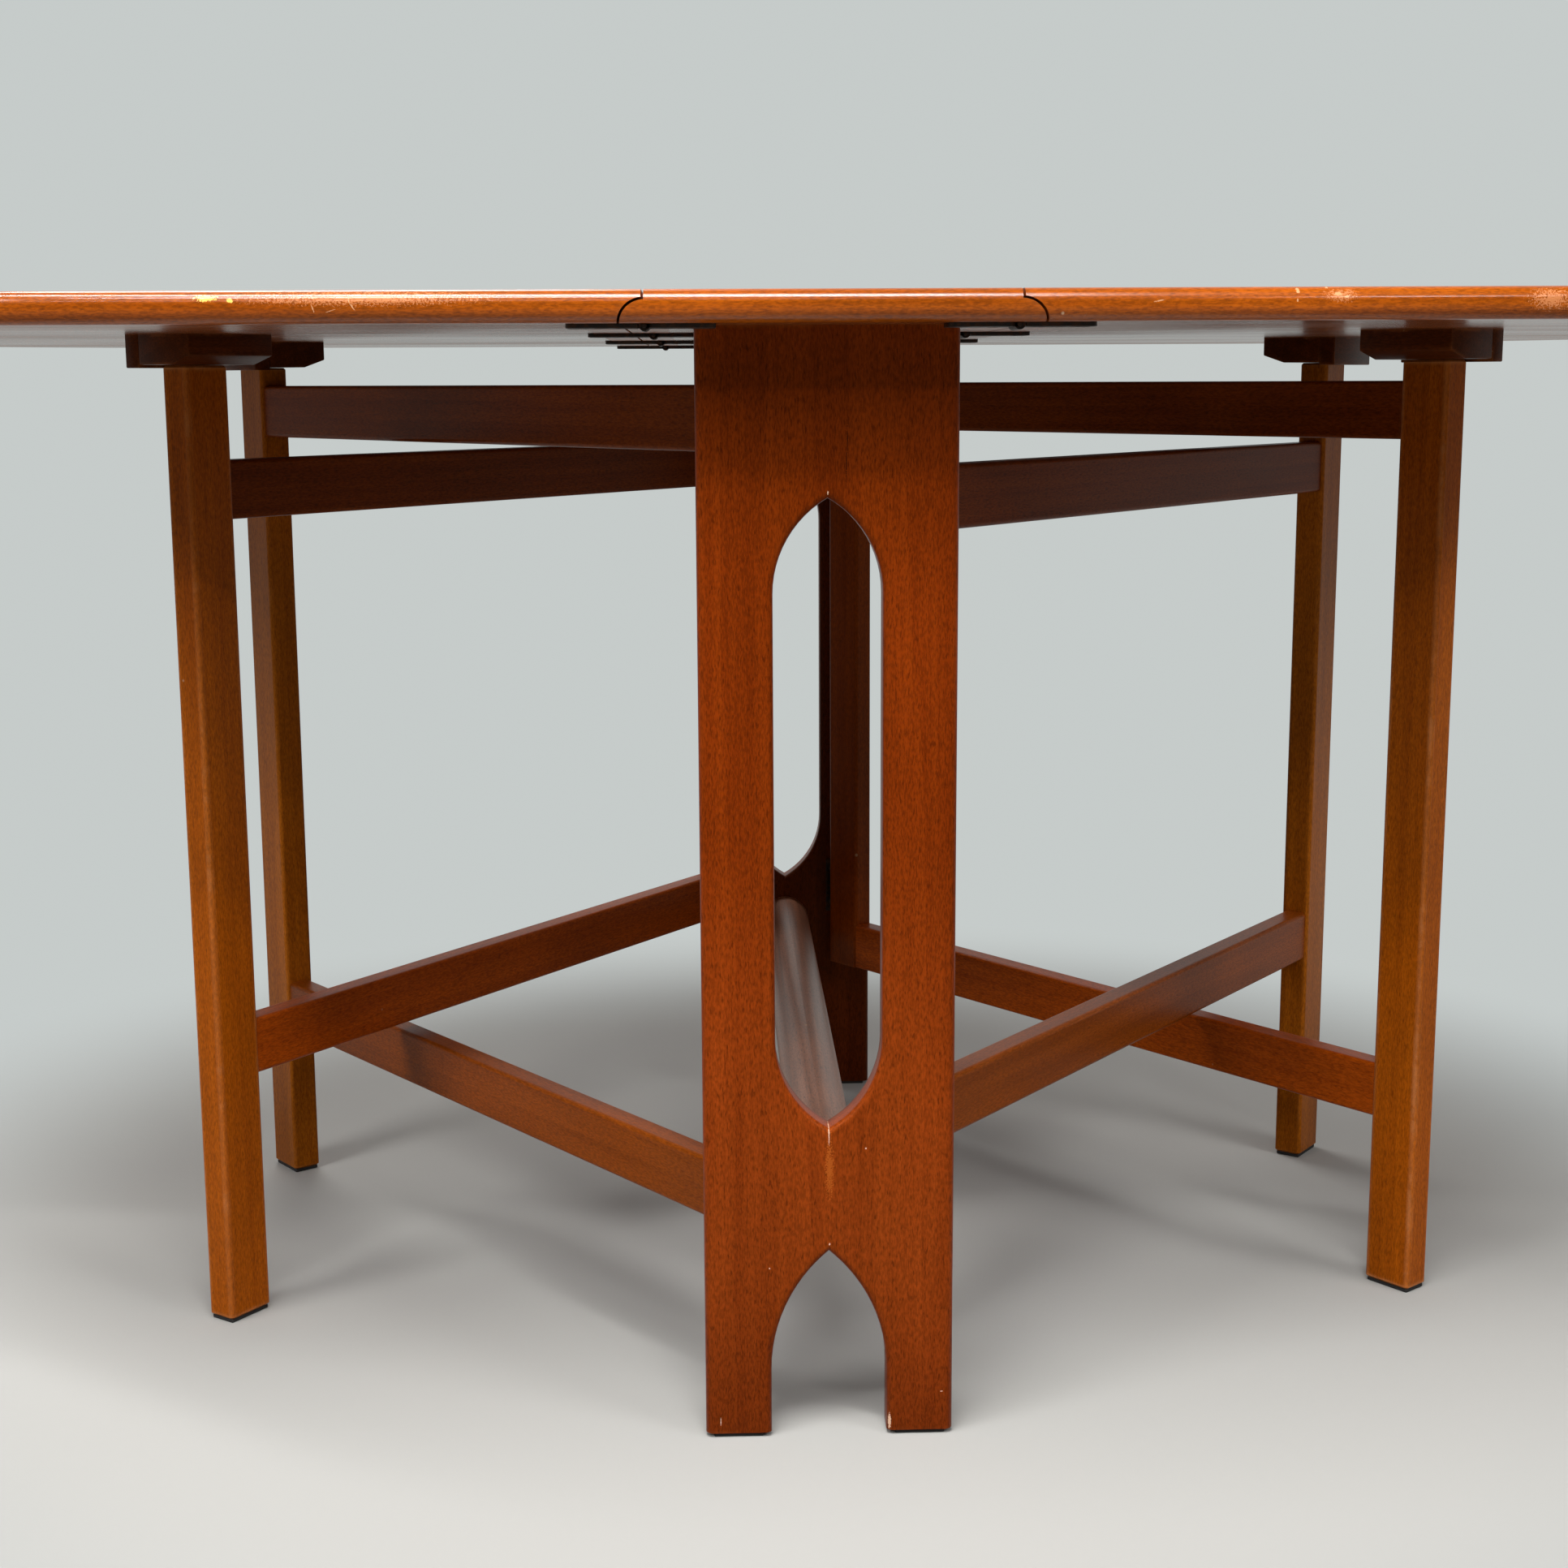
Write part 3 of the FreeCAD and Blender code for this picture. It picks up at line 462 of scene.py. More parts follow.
def marked(material, marks, tone, ragged):
    """Add small marks of one tone; each has its middle, half its size and its lean in degrees."""
    tree, before = colour_so_far(material)
    place = object_place(tree)
    rough = noise(tree, place, scale=900.0, detail=3.0, roughness=0.7)
    edge = between(tree, rough, *NOISE_SPREAD, -ragged, ragged)
    mark_edge, mark_full = MARK_EDGE
    mask = 0.0
    for middle, half, lean in marks:
        local = add_node(tree, "ShaderNodeMapping",
                         {"Vector": place, "Location": middle, "Scale": half,
                          "Rotation": (0, math.radians(-lean), 0)}, vector_type="TEXTURE")
        reach = add_node(tree, "ShaderNodeVectorMath", {0: local.outputs[0]}, operation="LENGTH")
        rough_reach = math_node(tree, "ADD", reach.outputs["Value"], edge)
        mark = between(tree, rough_reach, mark_full, mark_edge, 1.0, 0.0)
        mask = math_node(tree, "MAXIMUM", mask, mark)
    recolour(tree, mix_colours(tree, mask, before, tone))


graded_tone_and_shade(panel_wood, PANEL_DEEPER_HEIGHTS, PANEL_DEEPER_TONE)
graded_tone_and_shade(panel_wood, FOOT_HEIGHTS, FOOT_TONE)
# painted shade on the panels' inner faces, which stand in the shadow of the top
graded_tone_and_shade(panel_wood, SHADED_INNER_DEPTHS, INNER_PAINTED_SHADE, axis="Y")
# nicks and chips, and one painted highlight at the slot's upper point
marked(panel_wood, PANEL_NICKS_AND_HIGHLIGHT, NICK_AND_HIGHLIGHT_TONE, ragged=0.3)
marked(panel_wood, PANEL_CRACKS, CRACK_TONE, ragged=0.6)
marked(panel_wood, PALE_STREAKS, STREAK_TONE, ragged=0.9)
for end in ("near", "far"):
    finish_node("end_panel_" + end, panel_wood)

# ==== Stretcher ====
# One turned pole of the same wood, stub-tenoned into both panels, which keeps
# the two ends the right way apart.

GRAIN_ALONG_Y = (0, math.radians(90), math.radians(90))
# the pole's colour is partly its wood and partly a painted reflection, greyer and paler than the
# panels'
POLE_PALE_AND_SHEEN = (0.330, 0.120, 0.055, 1)
POLE_DARK_AND_SHEEN = (0.160, 0.055, 0.024, 1)
POLE_PORE = (0.045, 0.014, 0.007, 1)
stretcher_wood = timber("stretcher_teak", GRAIN_ALONG_Y, POLE_PALE_AND_SHEEN, POLE_DARK_AND_SHEEN, POLE_PORE,
                        figure=0.2, rub=0.2, chips=0.5, sheen=1.0, polish=-0.06,
                        sheen_tint=(1.0, 0.92, 0.85, 1))
finish_node("centre_stretcher", stretcher_wood)

# ==== Tabletop boards ====
# A narrow fixed board and two rounded leaves: veneered faces inside solid
# lippings, which carry the rounded rim and the moulded rule joint. The rim is
# the brightest wood on the table, scuffed and nicked along its upper side.

GRAIN_ALONG_X = (0, math.radians(90), 0)
RIM_PALE = (0.365, 0.078, 0.002, 1)
RIM_DARK = (0.252, 0.047, 0.001, 1)
RIM_PORE = (0.150, 0.030, 0.004, 1)
VENEER_PALE = (0.400, 0.100, 0.014, 1)
VENEER_DARK = (0.230, 0.048, 0.006, 1)
VENEER_PORE = (0.110, 0.024, 0.005, 1)
UNDER_PALE = (0.260, 0.066, 0.014, 1)
UNDER_DARK = (0.150, 0.034, 0.008, 1)
RIM_RUB_TONE = (0.50, 0.175, 0.060, 1)
RIM_CHIP_TONE = (0.86, 0.52, 0.10, 1)
SCRATCH_TONE = (0.60, 0.29, 0.13, 1)
RIM_RUBS = (  # lacquer rubbed off in passing
    ((-0.2640, -0.4500, 0.7182), (0.0520, 0.0100, 0.0032), 0),
    ((0.2890, -0.4490, 0.7178), (0.0070, 0.0100, 0.0028), 0),
    ((0.4100, -0.4500, 0.7155), (0.0090, 0.0100, 0.0045), 0),
)
RIM_CHIPS = (
    ((-0.3518, -0.4500, 0.7184), (0.0062, 0.0100, 0.0018), 0),
    ((-0.3383, -0.4500, 0.7171), (0.0018, 0.0100, 0.0013), 0),
)
RIM_SCRATCHES = (
    ((-0.2924, -0.4500, 0.7126), (0.0003, 0.0100, 0.0028), 20),
    ((-0.2723, -0.4500, 0.7172), (0.0003, 0.0100, 0.0022), 7),
    ((-0.2705, -0.4500, 0.7136), (0.0004, 0.0100, 0.0027), 35),
    ((-0.2825, -0.4500, 0.7113), (0.0029, 0.0100, 0.0002), 18),
    ((0.1850, -0.4500, 0.7152), (0.0032, 0.0100, 0.0004), 12),
    ((0.2643, -0.4480, 0.7206), (0.0010, 0.0100, 0.0016), 25),
    ((0.2640, -0.4480, 0.7150), (0.0005, 0.0100, 0.0011), 0),
    ((0.2815, -0.4480, 0.7224), (0.0008, 0.0100, 0.0006), 0),
    ((0.2872, -0.4480, 0.7184), (0.0022, 0.0100, 0.0010), 0),
    ((0.2925, -0.4480, 0.7172), (0.0016, 0.0100, 0.0012), 0),
)
LIPPING_INSET = 0.006  # from the start of the rim's rounding in to the veneer
JOINT_LIPPING = 0.026  # wider solid strip behind the rule joint
JOINT_GAP = 0.0015  # between a leaf's edge and the board's
RIM_DEPTH = 0.010  # the rim's own grain goes this far in at the joint
FLAT = 0.999  # least upright part of a flat face's normal
LEVEL = 0.0002  # heights closer than this are one
WELD = 0.00001
RIM, VENEER, UNDERSIDE, JOINT = range(4)  # materials of a board

rim_wood = timber("rim_lipping", GRAIN_ALONG_X, RIM_PALE, RIM_DARK, RIM_PORE,
                  figure=0.12, pores=0.45, rub=0.35, chips=1.0, coat=0.75, reach=0.006, sheen=0.06)
veneer = timber("top_veneer", GRAIN_ALONG_X, VENEER_PALE, VENEER_DARK, VENEER_PORE,
                figure=0.55, pores=0.5, rub=0.0, chips=0.25, coat=0.3, shift=(0, 0.03, 0.69))
joint_wood = timber("joint_lipping", GRAIN_ALONG_Y, RIM_PALE, RIM_DARK, RIM_PORE,
                    figure=0.25, pores=0.45, rub=0.25, chips=0.3, coat=0.3, shift=(0.03, 0, 0.4))
under_veneer = timber("underside_veneer", GRAIN_ALONG_X, UNDER_PALE, UNDER_DARK, VENEER_PORE,
                      figure=0.5, pores=0.5, rub=0.0, chips=0.1, sheen=0.7, polish=0.12,
                      shift=(0, 0.21, 0.66))
marked(rim_wood, RIM_RUBS, RIM_RUB_TONE, ragged=0.9)
marked(rim_wood, RIM_CHIPS, RIM_CHIP_TONE, ragged=0.5)
marked(rim_wood, RIM_SCRATCHES, SCRATCH_TONE, ragged=0.4)


def only(piece):
    """Select one object and make it the active one."""
    bpy.ops.object.select_all(action="DESELECT")
    piece.select_set(True)
    bpy.context.view_layer.objects.active = piece


def edit_mode():
    bpy.ops.object.mode_set(mode="EDIT")


def object_mode():
    bpy.ops.object.mode_set(mode="OBJECT")


def pick(piece, kind, elements, wanted):
    """Select the faces or edges that pass a test, and stay in edit mode."""
    only(piece)
    edit_mode()
    bpy.ops.mesh.select_mode(type=kind)
    bpy.ops.mesh.select_all(action="DESELECT")
    object_mode()
    for element in getattr(piece.data, elements):
        element.select = wanted(element)
    edit_mode()


def pick_faces(piece, wanted):
    """Select faces by their centre and normal."""
    pick(piece, "FACE", "polygons", lambda face: wanted(face.center, face.normal))


def edit_whole(piece, operation, **settings):
    """Run one mesh operation on the whole of a piece."""
    only(piece)
    edit_mode()
    bpy.ops.mesh.select_all(action="SELECT")
    operation(**settings)
    object_mode()


def welded_copy(node_name, piece_name):
    """Copy of a CAD node with its loose triangles joined up."""
    only(nodes[node_name])
    bpy.ops.object.duplicate()
    piece = bpy.context.object
    piece.name = piece_name
    piece.parent = None
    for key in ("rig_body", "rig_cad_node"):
        del piece[key]
    bpy.ops.mesh.customdata_custom_splitnormals_clear()
    edit_whole(piece, bpy.ops.mesh.remove_doubles, threshold=WELD)
    return piece


def give(piece, *materials):
    """Give a piece its materials."""
    piece.data.materials.clear()
    for material in materials:
        piece.data.materials.append(material)


def dress(piece, body, node_name, angle=35):
    """Give a finished piece its shading and its body, and hide the CAD node it stands for."""
    only(piece)
    bpy.ops.object.shade_smooth_by_angle(angle=math.radians(angle))
    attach(piece, body)
    if node_name:
        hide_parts(node_name)


def on_top(centre, normal):
    """Whether a face is part of the flat upper side."""
    return normal.z > FLAT and abs(centre.z - board_high.z) < LEVEL


def on_underside(centre, normal):
    return normal.z < -FLAT and abs(centre.z - board_low.z) < LEVEL


def nearest(x, joint_x):
    """Distance to the nearest of some joints."""
    return min(abs(x - side_x) for side_x in joint_x)


def face_top(piece, joint_x):
    """Part the upper side into its veneer and the lipping round it."""
    pick_faces(piece, on_top)
    bpy.ops.mesh.dissolve_faces()
    bpy.ops.mesh.inset(thickness=LIPPING_INSET)
    object_mode()
    inner = max((face for face in piece.data.polygons if face.select), key=lambda face: face.area)
    inner.material_index = VENEER
    for side_x in joint_x:
        inward = math.copysign(JOINT_LIPPING - LIPPING_INSET, inner.center.x - side_x)
        for index in inner.vertices:
            corner = piece.data.vertices[index].co
            if abs(corner.x - side_x) < 1.5 * LIPPING_INSET:
                corner.x += inward


def face_underside(piece, joint_x, middle_x):
    """Part the underside, with its pockets for the hinges, along straight lines."""
    pick_faces(piece, on_underside)
    bpy.ops.mesh.dissolve_faces()
    object_mode()
    for side_x in joint_x:
        cut_x = side_x + math.copysign(JOINT_LIPPING, middle_x - side_x)
        pick_faces(piece, on_underside)
        bpy.ops.mesh.bisect(plane_co=(cut_x, 0, 0), plane_no=(1, 0, 0))
        object_mode()
    for face in piece.data.polygons:
        behind = nearest(face.center.x, joint_x) > JOINT_LIPPING
        if behind and on_underside(face.center, face.normal):
            face.material_index = UNDERSIDE


board_low, board_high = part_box("centre_board")
right_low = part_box("leaf_right")[0]
left_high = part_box("leaf_left")[1]
step_x = right_low.x - JOINT_GAP
boards = {  # body, and X of the joints on the upper side and on the underside
    "centre_board": ("frame", (-step_x, step_x), (board_low.x, board_high.x)),
    "leaf_left": ("leaf_left", (left_high.x,), (board_low.x,)),
    "leaf_right": ("leaf_right", (right_low.x,), (board_high.x,)),
}
for name, (body, top_joints, under_joints) in boards.items():
    board = welded_copy(name, name + "_faced")
    give(board, rim_wood, veneer, under_veneer, joint_wood)
    face_top(board, top_joints)
    low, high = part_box(name)
    face_underside(board, under_joints, (low.x + high.x) / 2)
    for face in board.data.polygons:
        joint_x = under_joints if on_underside(face.center, face.normal) else top_joints
        beside = nearest(face.center.x, joint_x) < JOINT_LIPPING
        if beside and face.material_index == RIM and abs(face.center.y) < board_high.y - RIM_DEPTH:
            face.material_index = JOINT
    dress(board, body, name, angle=25)

# ==== Cleats ====
# A batten in each corner under the centre board, through which the board is
# screwed to the panel.

cleat_wood = timber("cleat_teak", GRAIN_ALONG_X, PANEL_PALE, PANEL_DARK, PANEL_PORE,
                    figure=0.2, rub=0.2, chips=0.3)
for end in ("near", "far"):
    finish_node("top_cleat_" + end, cleat_wood)

# ==== Gates ====
# Four swinging frames of paler, more orange teak. Each has a full-height leg,
# a stile at the hinge and two rails, mortised and tenoned, with every long
# edge eased. The rails' grain follows each gate's own heading.

SHUT_ANGLE = 2.7  # degrees left between gate and frame when folded
LEG_PALE = (0.480, 0.110, 0.003, 1)
LEG_DARK = (0.320, 0.066, 0.002, 1)
LEG_PORE = (0.150, 0.030, 0.002, 1)
# painted shade: the far legs get a darker copy of the same wood
FAR_LEG_SHADED_PALE = (0.420, 0.115, 0.005, 1)
FAR_LEG_SHADED_DARK = (0.280, 0.070, 0.003, 1)
# pale corners of the legs: part wear, part a painted highlight on the rounded edges
ARRIS_WEAR_AND_HIGHLIGHT = (0.62, 0.25, 0.09, 1)
LEG_SHADE_HEIGHTS = (0.42, 0.66)  # painted shade: the legs darken towards the top, under the tabletop
LEG_PAINTED_SHADE = (0.72, 0.66, 0.60, 1)
RAIL_PALE = (0.480, 0.084, 0.003, 1)
RAIL_DARK = (0.320, 0.050, 0.002, 1)
RAIL_PORE = (0.150, 0.024, 0.002, 1)
# painted shade: the far gates' rails get a darker copy of the rail wood
FAR_RAIL_SHADED_PALE = (0.290, 0.062, 0.004, 1)
FAR_RAIL_SHADED_DARK = (0.190, 0.038, 0.002, 1)
# painted shade: the stiles, deep under the top, get a darker wood
STILE_SHADED_PALE = (0.270, 0.048, 0.002, 1)
STILE_SHADED_DARK = (0.180, 0.028, 0.001, 1)
# painted shade: the top rails, right under the tabletop, get a much darker copy of the rail wood
TOP_RAIL_SHADED_PALE = (0.165, 0.029, 0.001, 1)
TOP_RAIL_SHADED_DARK = (0.105, 0.016, 0.001, 1)
TOP_RAIL_SHADED_PORE = (0.060, 0.010, 0.001, 1)
CORNERS = ("near_left", "far_left", "near_right", "far_right")

joints = {joint["name"]: joint for joint in frame["joints"]}
# the strong, even rub on the near legs paints their corners' highlight as well as wear
leg_wood = timber("leg_teak", GRAIN_UPRIGHT, LEG_PALE, LEG_DARK, LEG_PORE,
                  figure=0.22, pores=0.35, rub=1.6, even=0.40, chips=0.5, shift=(0.5, 0.2, 0),
                  sheen=0.10, reach=0.005, rub_tone=ARRIS_WEAR_AND_HIGHLIGHT)
shaded_far_leg_wood = timber("far_leg_teak", GRAIN_UPRIGHT, FAR_LEG_SHADED_PALE, FAR_LEG_SHADED_DARK, LEG_PORE,
                      figure=0.22, pores=0.35, rub=0.6, even=0.3, chips=0.4, shift=(0.2, 0.7, 0),
                      sheen=0.10, reach=0.004, rub_tone=ARRIS_WEAR_AND_HIGHLIGHT)
# painted shade on the upper legs, where the top shadows them
graded_tone_and_shade(leg_wood, LEG_SHADE_HEIGHTS, LEG_PAINTED_SHADE)
graded_tone_and_shade(shaded_far_leg_wood, LEG_SHADE_HEIGHTS, LEG_PAINTED_SHADE)
shaded_stile_wood = timber("stile_teak", GRAIN_UPRIGHT, STILE_SHADED_PALE, STILE_SHADED_DARK, RAIL_PORE,
                    figure=0.25, pores=0.4, rub=0.25, chips=0.4, shift=(0.1, 0.6, 0))


def gate_heading(corner):
    """Direction in plan from a gate's hinge pin to its leg."""
    angle = math.radians(joints["fold_" + corner]["range_deg"][1] + SHUT_ANGLE)
    side = 1 if corner.endswith("right") else -1
    depth = -1 if corner.startswith("near") else 1
    return Vector((side * math.sin(angle), depth * math.cos(angle), 0))


def grain_along(heading):
    """Turn that lays the grain along a level direction."""
    return (0, math.radians(90), math.atan2(heading.y, heading.x))


for corner in CORNERS:
    is_near = corner.startswith("near")
    grain_turn = grain_along(gate_heading(corner))
    # the far gates take the darker copy, which is painted shade
    pale, dark = (RAIL_PALE, RAIL_DARK) if is_near else (FAR_RAIL_SHADED_PALE, FAR_RAIL_SHADED_DARK)
    rail_wood = timber("rail_teak_" + corner, grain_turn, pale, dark, RAIL_PORE,
                       figure=0.3, pores=0.4, rub=0.35, chips=0.5)
    shaded_top_rail_wood = timber("top_rail_teak_" + corner, grain_turn, TOP_RAIL_SHADED_PALE, TOP_RAIL_SHADED_DARK,
                           TOP_RAIL_SHADED_PORE, figure=0.3, pores=0.4, rub=0.25, chips=0.4, sheen=0.07)
    finish_node("leg_" + corner, leg_wood if is_near else shaded_far_leg_wood)
    finish_node("stile_" + corner, shaded_stile_wood)
    finish_node("lower_rail_" + corner, rail_wood)
    finish_node("top_rail_" + corner, shaded_top_rail_wood)

# ==== Leaf hinges ====
# Four back-flap hinges to a side: a long strap under the leaf, a short plate
# under the centre board, and three knuckles on a pin at the centre of the rule
# joint. Pressed steel, browned with age.

STEEL = (0.030, 0.022, 0.018, 1)
RUST = (0.075, 0.034, 0.018, 1)
SCREW_METAL = (0.070, 0.055, 0.042, 1)
RUST_LEVELS = (0.42, 0.66)  # noise levels where the second tone begins and is full
SCREW_RADIUS = 0.0036
SCREW_HEIGHT = 0.0012
SCREW_EDGE = 0.0003
SCREW_SLOT = 0.0009
SLOT_DEPTH = 0.0006
SLOT_TURNS = (0.4, 1.1)  # turn of a plate's first slot, and what each next one adds
SINK = 0.00025  # screw heads lie this far below the plate
HOLE_SHARES = (0.72, 1.30)  # countersink's radius at its bottom and mouth, against a head's
HOLE_DEPTH = 0.0018
CUT_PAST = 0.0002  # a cutter stands this far out of what it cuts
PIN_PROUD = 0.0008  # pin's end past the knuckles
PIN_DOME = 0.45  # how far a pin's end is rounded, against its radius
KNUCKLE_GAP = 0.0003
BORE_EASE = 1.03  # knuckle's bore against its pin
BORE_STEP = 0.0001  # and how it narrows and how deep it is drawn
BORE_DEPTH = 0.0012
HINGE_WIDTH = 0.030
STRAP_THICKNESS = 0.0025
KNUCKLE_RADIUS = 0.0032
PIN_RADIUS = 0.0016
PLATE_SETBACK = 0.0038  # plates stop this far from the pin beside the knuckles
PLATE_CORNER = 0.004
PLATE_EDGE = 0.0004
NECK_LAP = 0.0005  # a knuckle's neck runs this far into its plate
STRAP_SCREWS = ((0.0125, 0.0), (0.0245, 0.0085), (0.0365, -0.0085))  # from the pin and aside
PLATE_SCREWS = ((-0.0125, 0.0085), (-0.0310, -0.0085))


def metal(name, base, second, roughness):
    """Dull old metal with a patchy surface."""
    material, tree = new_material(name)
    patch = noise(tree, object_place(tree), scale=260.0, detail=4.0, roughness=0.65)
    feed(tree, tree.nodes["Principled BSDF"], {
        "Base Color": mix_colours(tree, between(tree, patch, *RUST_LEVELS), base, second),
        "Roughness": between(tree, patch, *NOISE_SPREAD, *roughness),
        "Metallic": 0.75,
        "Normal": bumped(tree, patch, strength=0.4, distance=0.0001),
    })
    return material


def block_between(name, low, high, material=None):
    """Box between two corners, its place kept in its mesh."""
    bpy.ops.object.select_all(action="DESELECT")
    middle = [(a + b) / 2 for a, b in zip(low, high)]
    size = [b - a for a, b in zip(low, high)]
    bpy.ops.mesh.primitive_cube_add(size=1, location=middle, scale=size)
    piece = bpy.context.object
    piece.name = name
    bpy.ops.object.transform_apply(location=True, rotation=True, scale=True)
    if material:
        give(piece, material)
    return piece


def upright_rod(name, radius, length, vertices):
    """Cylinder about the origin, its length along Z."""
    bpy.ops.object.select_all(action="DESELECT")
    bpy.ops.mesh.primitive_cylinder_add(vertices=vertices, radius=radius, depth=length)
    piece = bpy.context.object
    piece.name = name
    return piece


def turned_to(direction):
    """Matrix that turns +Z to a direction."""
    return Vector((0, 0, 1)).rotation_difference(direction).to_matrix().to_4x4()


def laid_between(rod, start, end):
    """Lay an upright rod between two points and make it steel."""
    rod.data.transform(Matrix.Translation((start + end) / 2) @ turned_to(end - start))
    give(rod, hinge_steel)
    return rod


def pick_edges(piece, wanted):
    """Select edges by their two ends."""
    points = piece.data.vertices
    pick(piece, "EDGE", "edges", lambda edge: wanted(*(points[end].co for end in edge.vertices)))


def ease_edges(piece, width, wanted, segments=2):
    """Bevel the edges that the test picks."""
    pick_edges(piece, wanted)
    bpy.ops.mesh.bevel(offset=width, segments=segments, profile=0.5)
    object_mode()


def joined(pieces, name):
    """Join pieces into one object."""
    bpy.ops.object.select_all(action="DESELECT")
    for piece in pieces:
        piece.select_set(True)
    bpy.context.view_layer.objects.active = pieces[0]
    bpy.ops.object.join()
    whole = bpy.context.object
    whole.name = name
    return whole


def placed_copy(pattern, matrix):
    """Copy of a pattern with its own mesh, moved by a matrix that may mirror it."""
    copy = pattern.copy()
    copy.data = pattern.data.copy()
    bpy.context.collection.objects.link(copy)
    copy.data.transform(matrix)
    if matrix.determinant() < 0:
        copy.data.flip_normals()
    return copy


def discard(piece):
    bpy.data.objects.remove(piece, do_unlink=True)


def cut_away(piece, cutter):
    """Subtract a cutter from a piece, and throw the cutter away."""
    only(piece)
    cut = piece.modifiers.new("cut", "BOOLEAN")
    cut.operation = "DIFFERENCE"
    cut.object = cutter
    bpy.ops.object.modifier_apply(modifier=cut.name)
    discard(cutter)


def slotted_screw(material):
    """Countersunk screw head with one slot, its face at the origin and facing +Z."""
    head = upright_rod("screw", SCREW_RADIUS, SCREW_HEIGHT, vertices=24)
    head.data.transform(Matrix.Translation((0, 0, -SCREW_HEIGHT / 2)))
    ease_edges(head, SCREW_EDGE, lambda first, last: min(first.z, last.z) > -WELD)
    give(head, material)
    cut_away(head, block_between("slot", (-2 * SCREW_RADIUS, -SCREW_SLOT / 2, -SLOT_DEPTH),
                                 (2 * SCREW_RADIUS, SCREW_SLOT / 2, SLOT_DEPTH)))
    return head


def sunk_holes(piece, places, radius, depth):
    """Countersink a plate; each place holds a hole's mouth and its outward axis."""
    for mouth, outward in places:
        bpy.ops.object.select_all(action="DESELECT")
        bpy.ops.mesh.primitive_cone_add(vertices=24, radius1=radius * HOLE_SHARES[0],
                                        radius2=radius * HOLE_SHARES[1], depth=depth)
        cutter = bpy.context.object
        middle = mouth - outward * (depth / 2 - CUT_PAST)
        cutter.data.transform(Matrix.Translation(middle) @ turned_to(outward))
        cut_away(piece, cutter)


def barrel(start, end, radius, pin_radius):
    """Hollow knuckle between two points, open at both ends far enough to show the pin."""
    piece = upright_rod("knuckle", radius, (end - start).length, vertices=32)
    pick_faces(piece, lambda centre, normal: abs(normal.z) > FLAT)
    bpy.ops.mesh.inset(thickness=radius - pin_radius * BORE_EASE, use_individual=True)
    bpy.ops.mesh.inset(thickness=BORE_STEP, depth=-BORE_DEPTH, use_individual=True)
    object_mode()
    return laid_between(piece, start, end)


def domed_pin(start, end, radius):
    """Hinge pin with rounded ends."""
    length = (end - start).length
    piece = upright_rod("pin", radius, length, vertices=20)
    ease_edges(piece, radius * PIN_DOME,
               lambda first, last: abs(first.z + last.z) > FLAT * length, segments=3)
    return laid_between(piece, start, end)


def with_screws(plate, screw, places):
    """Put a screw at each place; the slots all stand at different angles."""
    first_turn, turn_step = SLOT_TURNS
    pieces = [plate]
    for count, (mouth, outward) in enumerate(places):
        spin = Matrix.Rotation(first_turn + turn_step * count, 4, "Z")
        sunk = Matrix.Translation(mouth - outward * SINK)
        pieces.append(placed_copy(screw, sunk @ turned_to(outward) @ spin))
    return joined(pieces, plate.name)


hinge_steel = metal("browned_steel", STEEL, RUST, roughness=(0.40, 0.65))
screw_steel = metal("screw_steel", SCREW_METAL, STEEL, roughness=(0.32, 0.57))
screw = slotted_screw(screw_steel)

pin_x, _, pin_z = joints["lift_leaf_right"]["pos_m"]
strap_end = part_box("leaf_hinge_straps_right")[1].x
plate_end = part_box("centre_hinge_plates_right")[0].x
half_width = HINGE_WIDTH / 2
third = (HINGE_WIDTH - 2 * KNUCKLE_GAP) / 3
below = Vector((0, 0, -1))
strap_underside = board_low.z - STRAP_THICKNESS


def hinge_half(name, side, free_x, screw_places, spans):
    """Plate on one side of the pin, with its screws, and a knuckle over each span of the pin."""
    near_x = pin_x + side * PLATE_SETBACK
    half = block_between(name, (min(near_x, free_x), -half_width, strap_underside),
                         (max(near_x, free_x), half_width, board_low.z), hinge_steel)
    ease_edges(half, PLATE_CORNER, lambda first, last: (first - last).xy.length < WELD
               and abs(first.x - free_x) < WELD, segments=4)
    ease_edges(half, PLATE_EDGE, lambda first, last: max(first.z, last.z) < strap_underside + WELD)
    places = [(Vector((pin_x + reach, aside, strap_underside)), below)
              for reach, aside in screw_places]
    sunk_holes(half, places, SCREW_RADIUS, HOLE_DEPTH)
    parts = [half]
    neck_x = pin_x + side * (PLATE_SETBACK + NECK_LAP)
    for low_y, high_y in spans:
        parts.append(block_between("neck", (min(pin_x, neck_x), low_y, strap_underside),
                                   (max(pin_x, neck_x), high_y, board_low.z), hinge_steel))
        parts.append(barrel(Vector((pin_x, low_y, pin_z)), Vector((pin_x, high_y, pin_z)),
                            KNUCKLE_RADIUS, PIN_RADIUS))
    return with_screws(joined(parts, name), screw, places)


strap = hinge_half("strap", 1, strap_end, STRAP_SCREWS, [(-third / 2, third / 2)])
outer_start = third / 2 + KNUCKLE_GAP
plate = hinge_half("plate", -1, plate_end, PLATE_SCREWS,
                   [(-half_width, -outer_start), (outer_start, half_width)])
pin = domed_pin(Vector((pin_x, -half_width - PIN_PROUD, pin_z)),
                Vector((pin_x, half_width + PIN_PROUD, pin_z)), PIN_RADIUS)

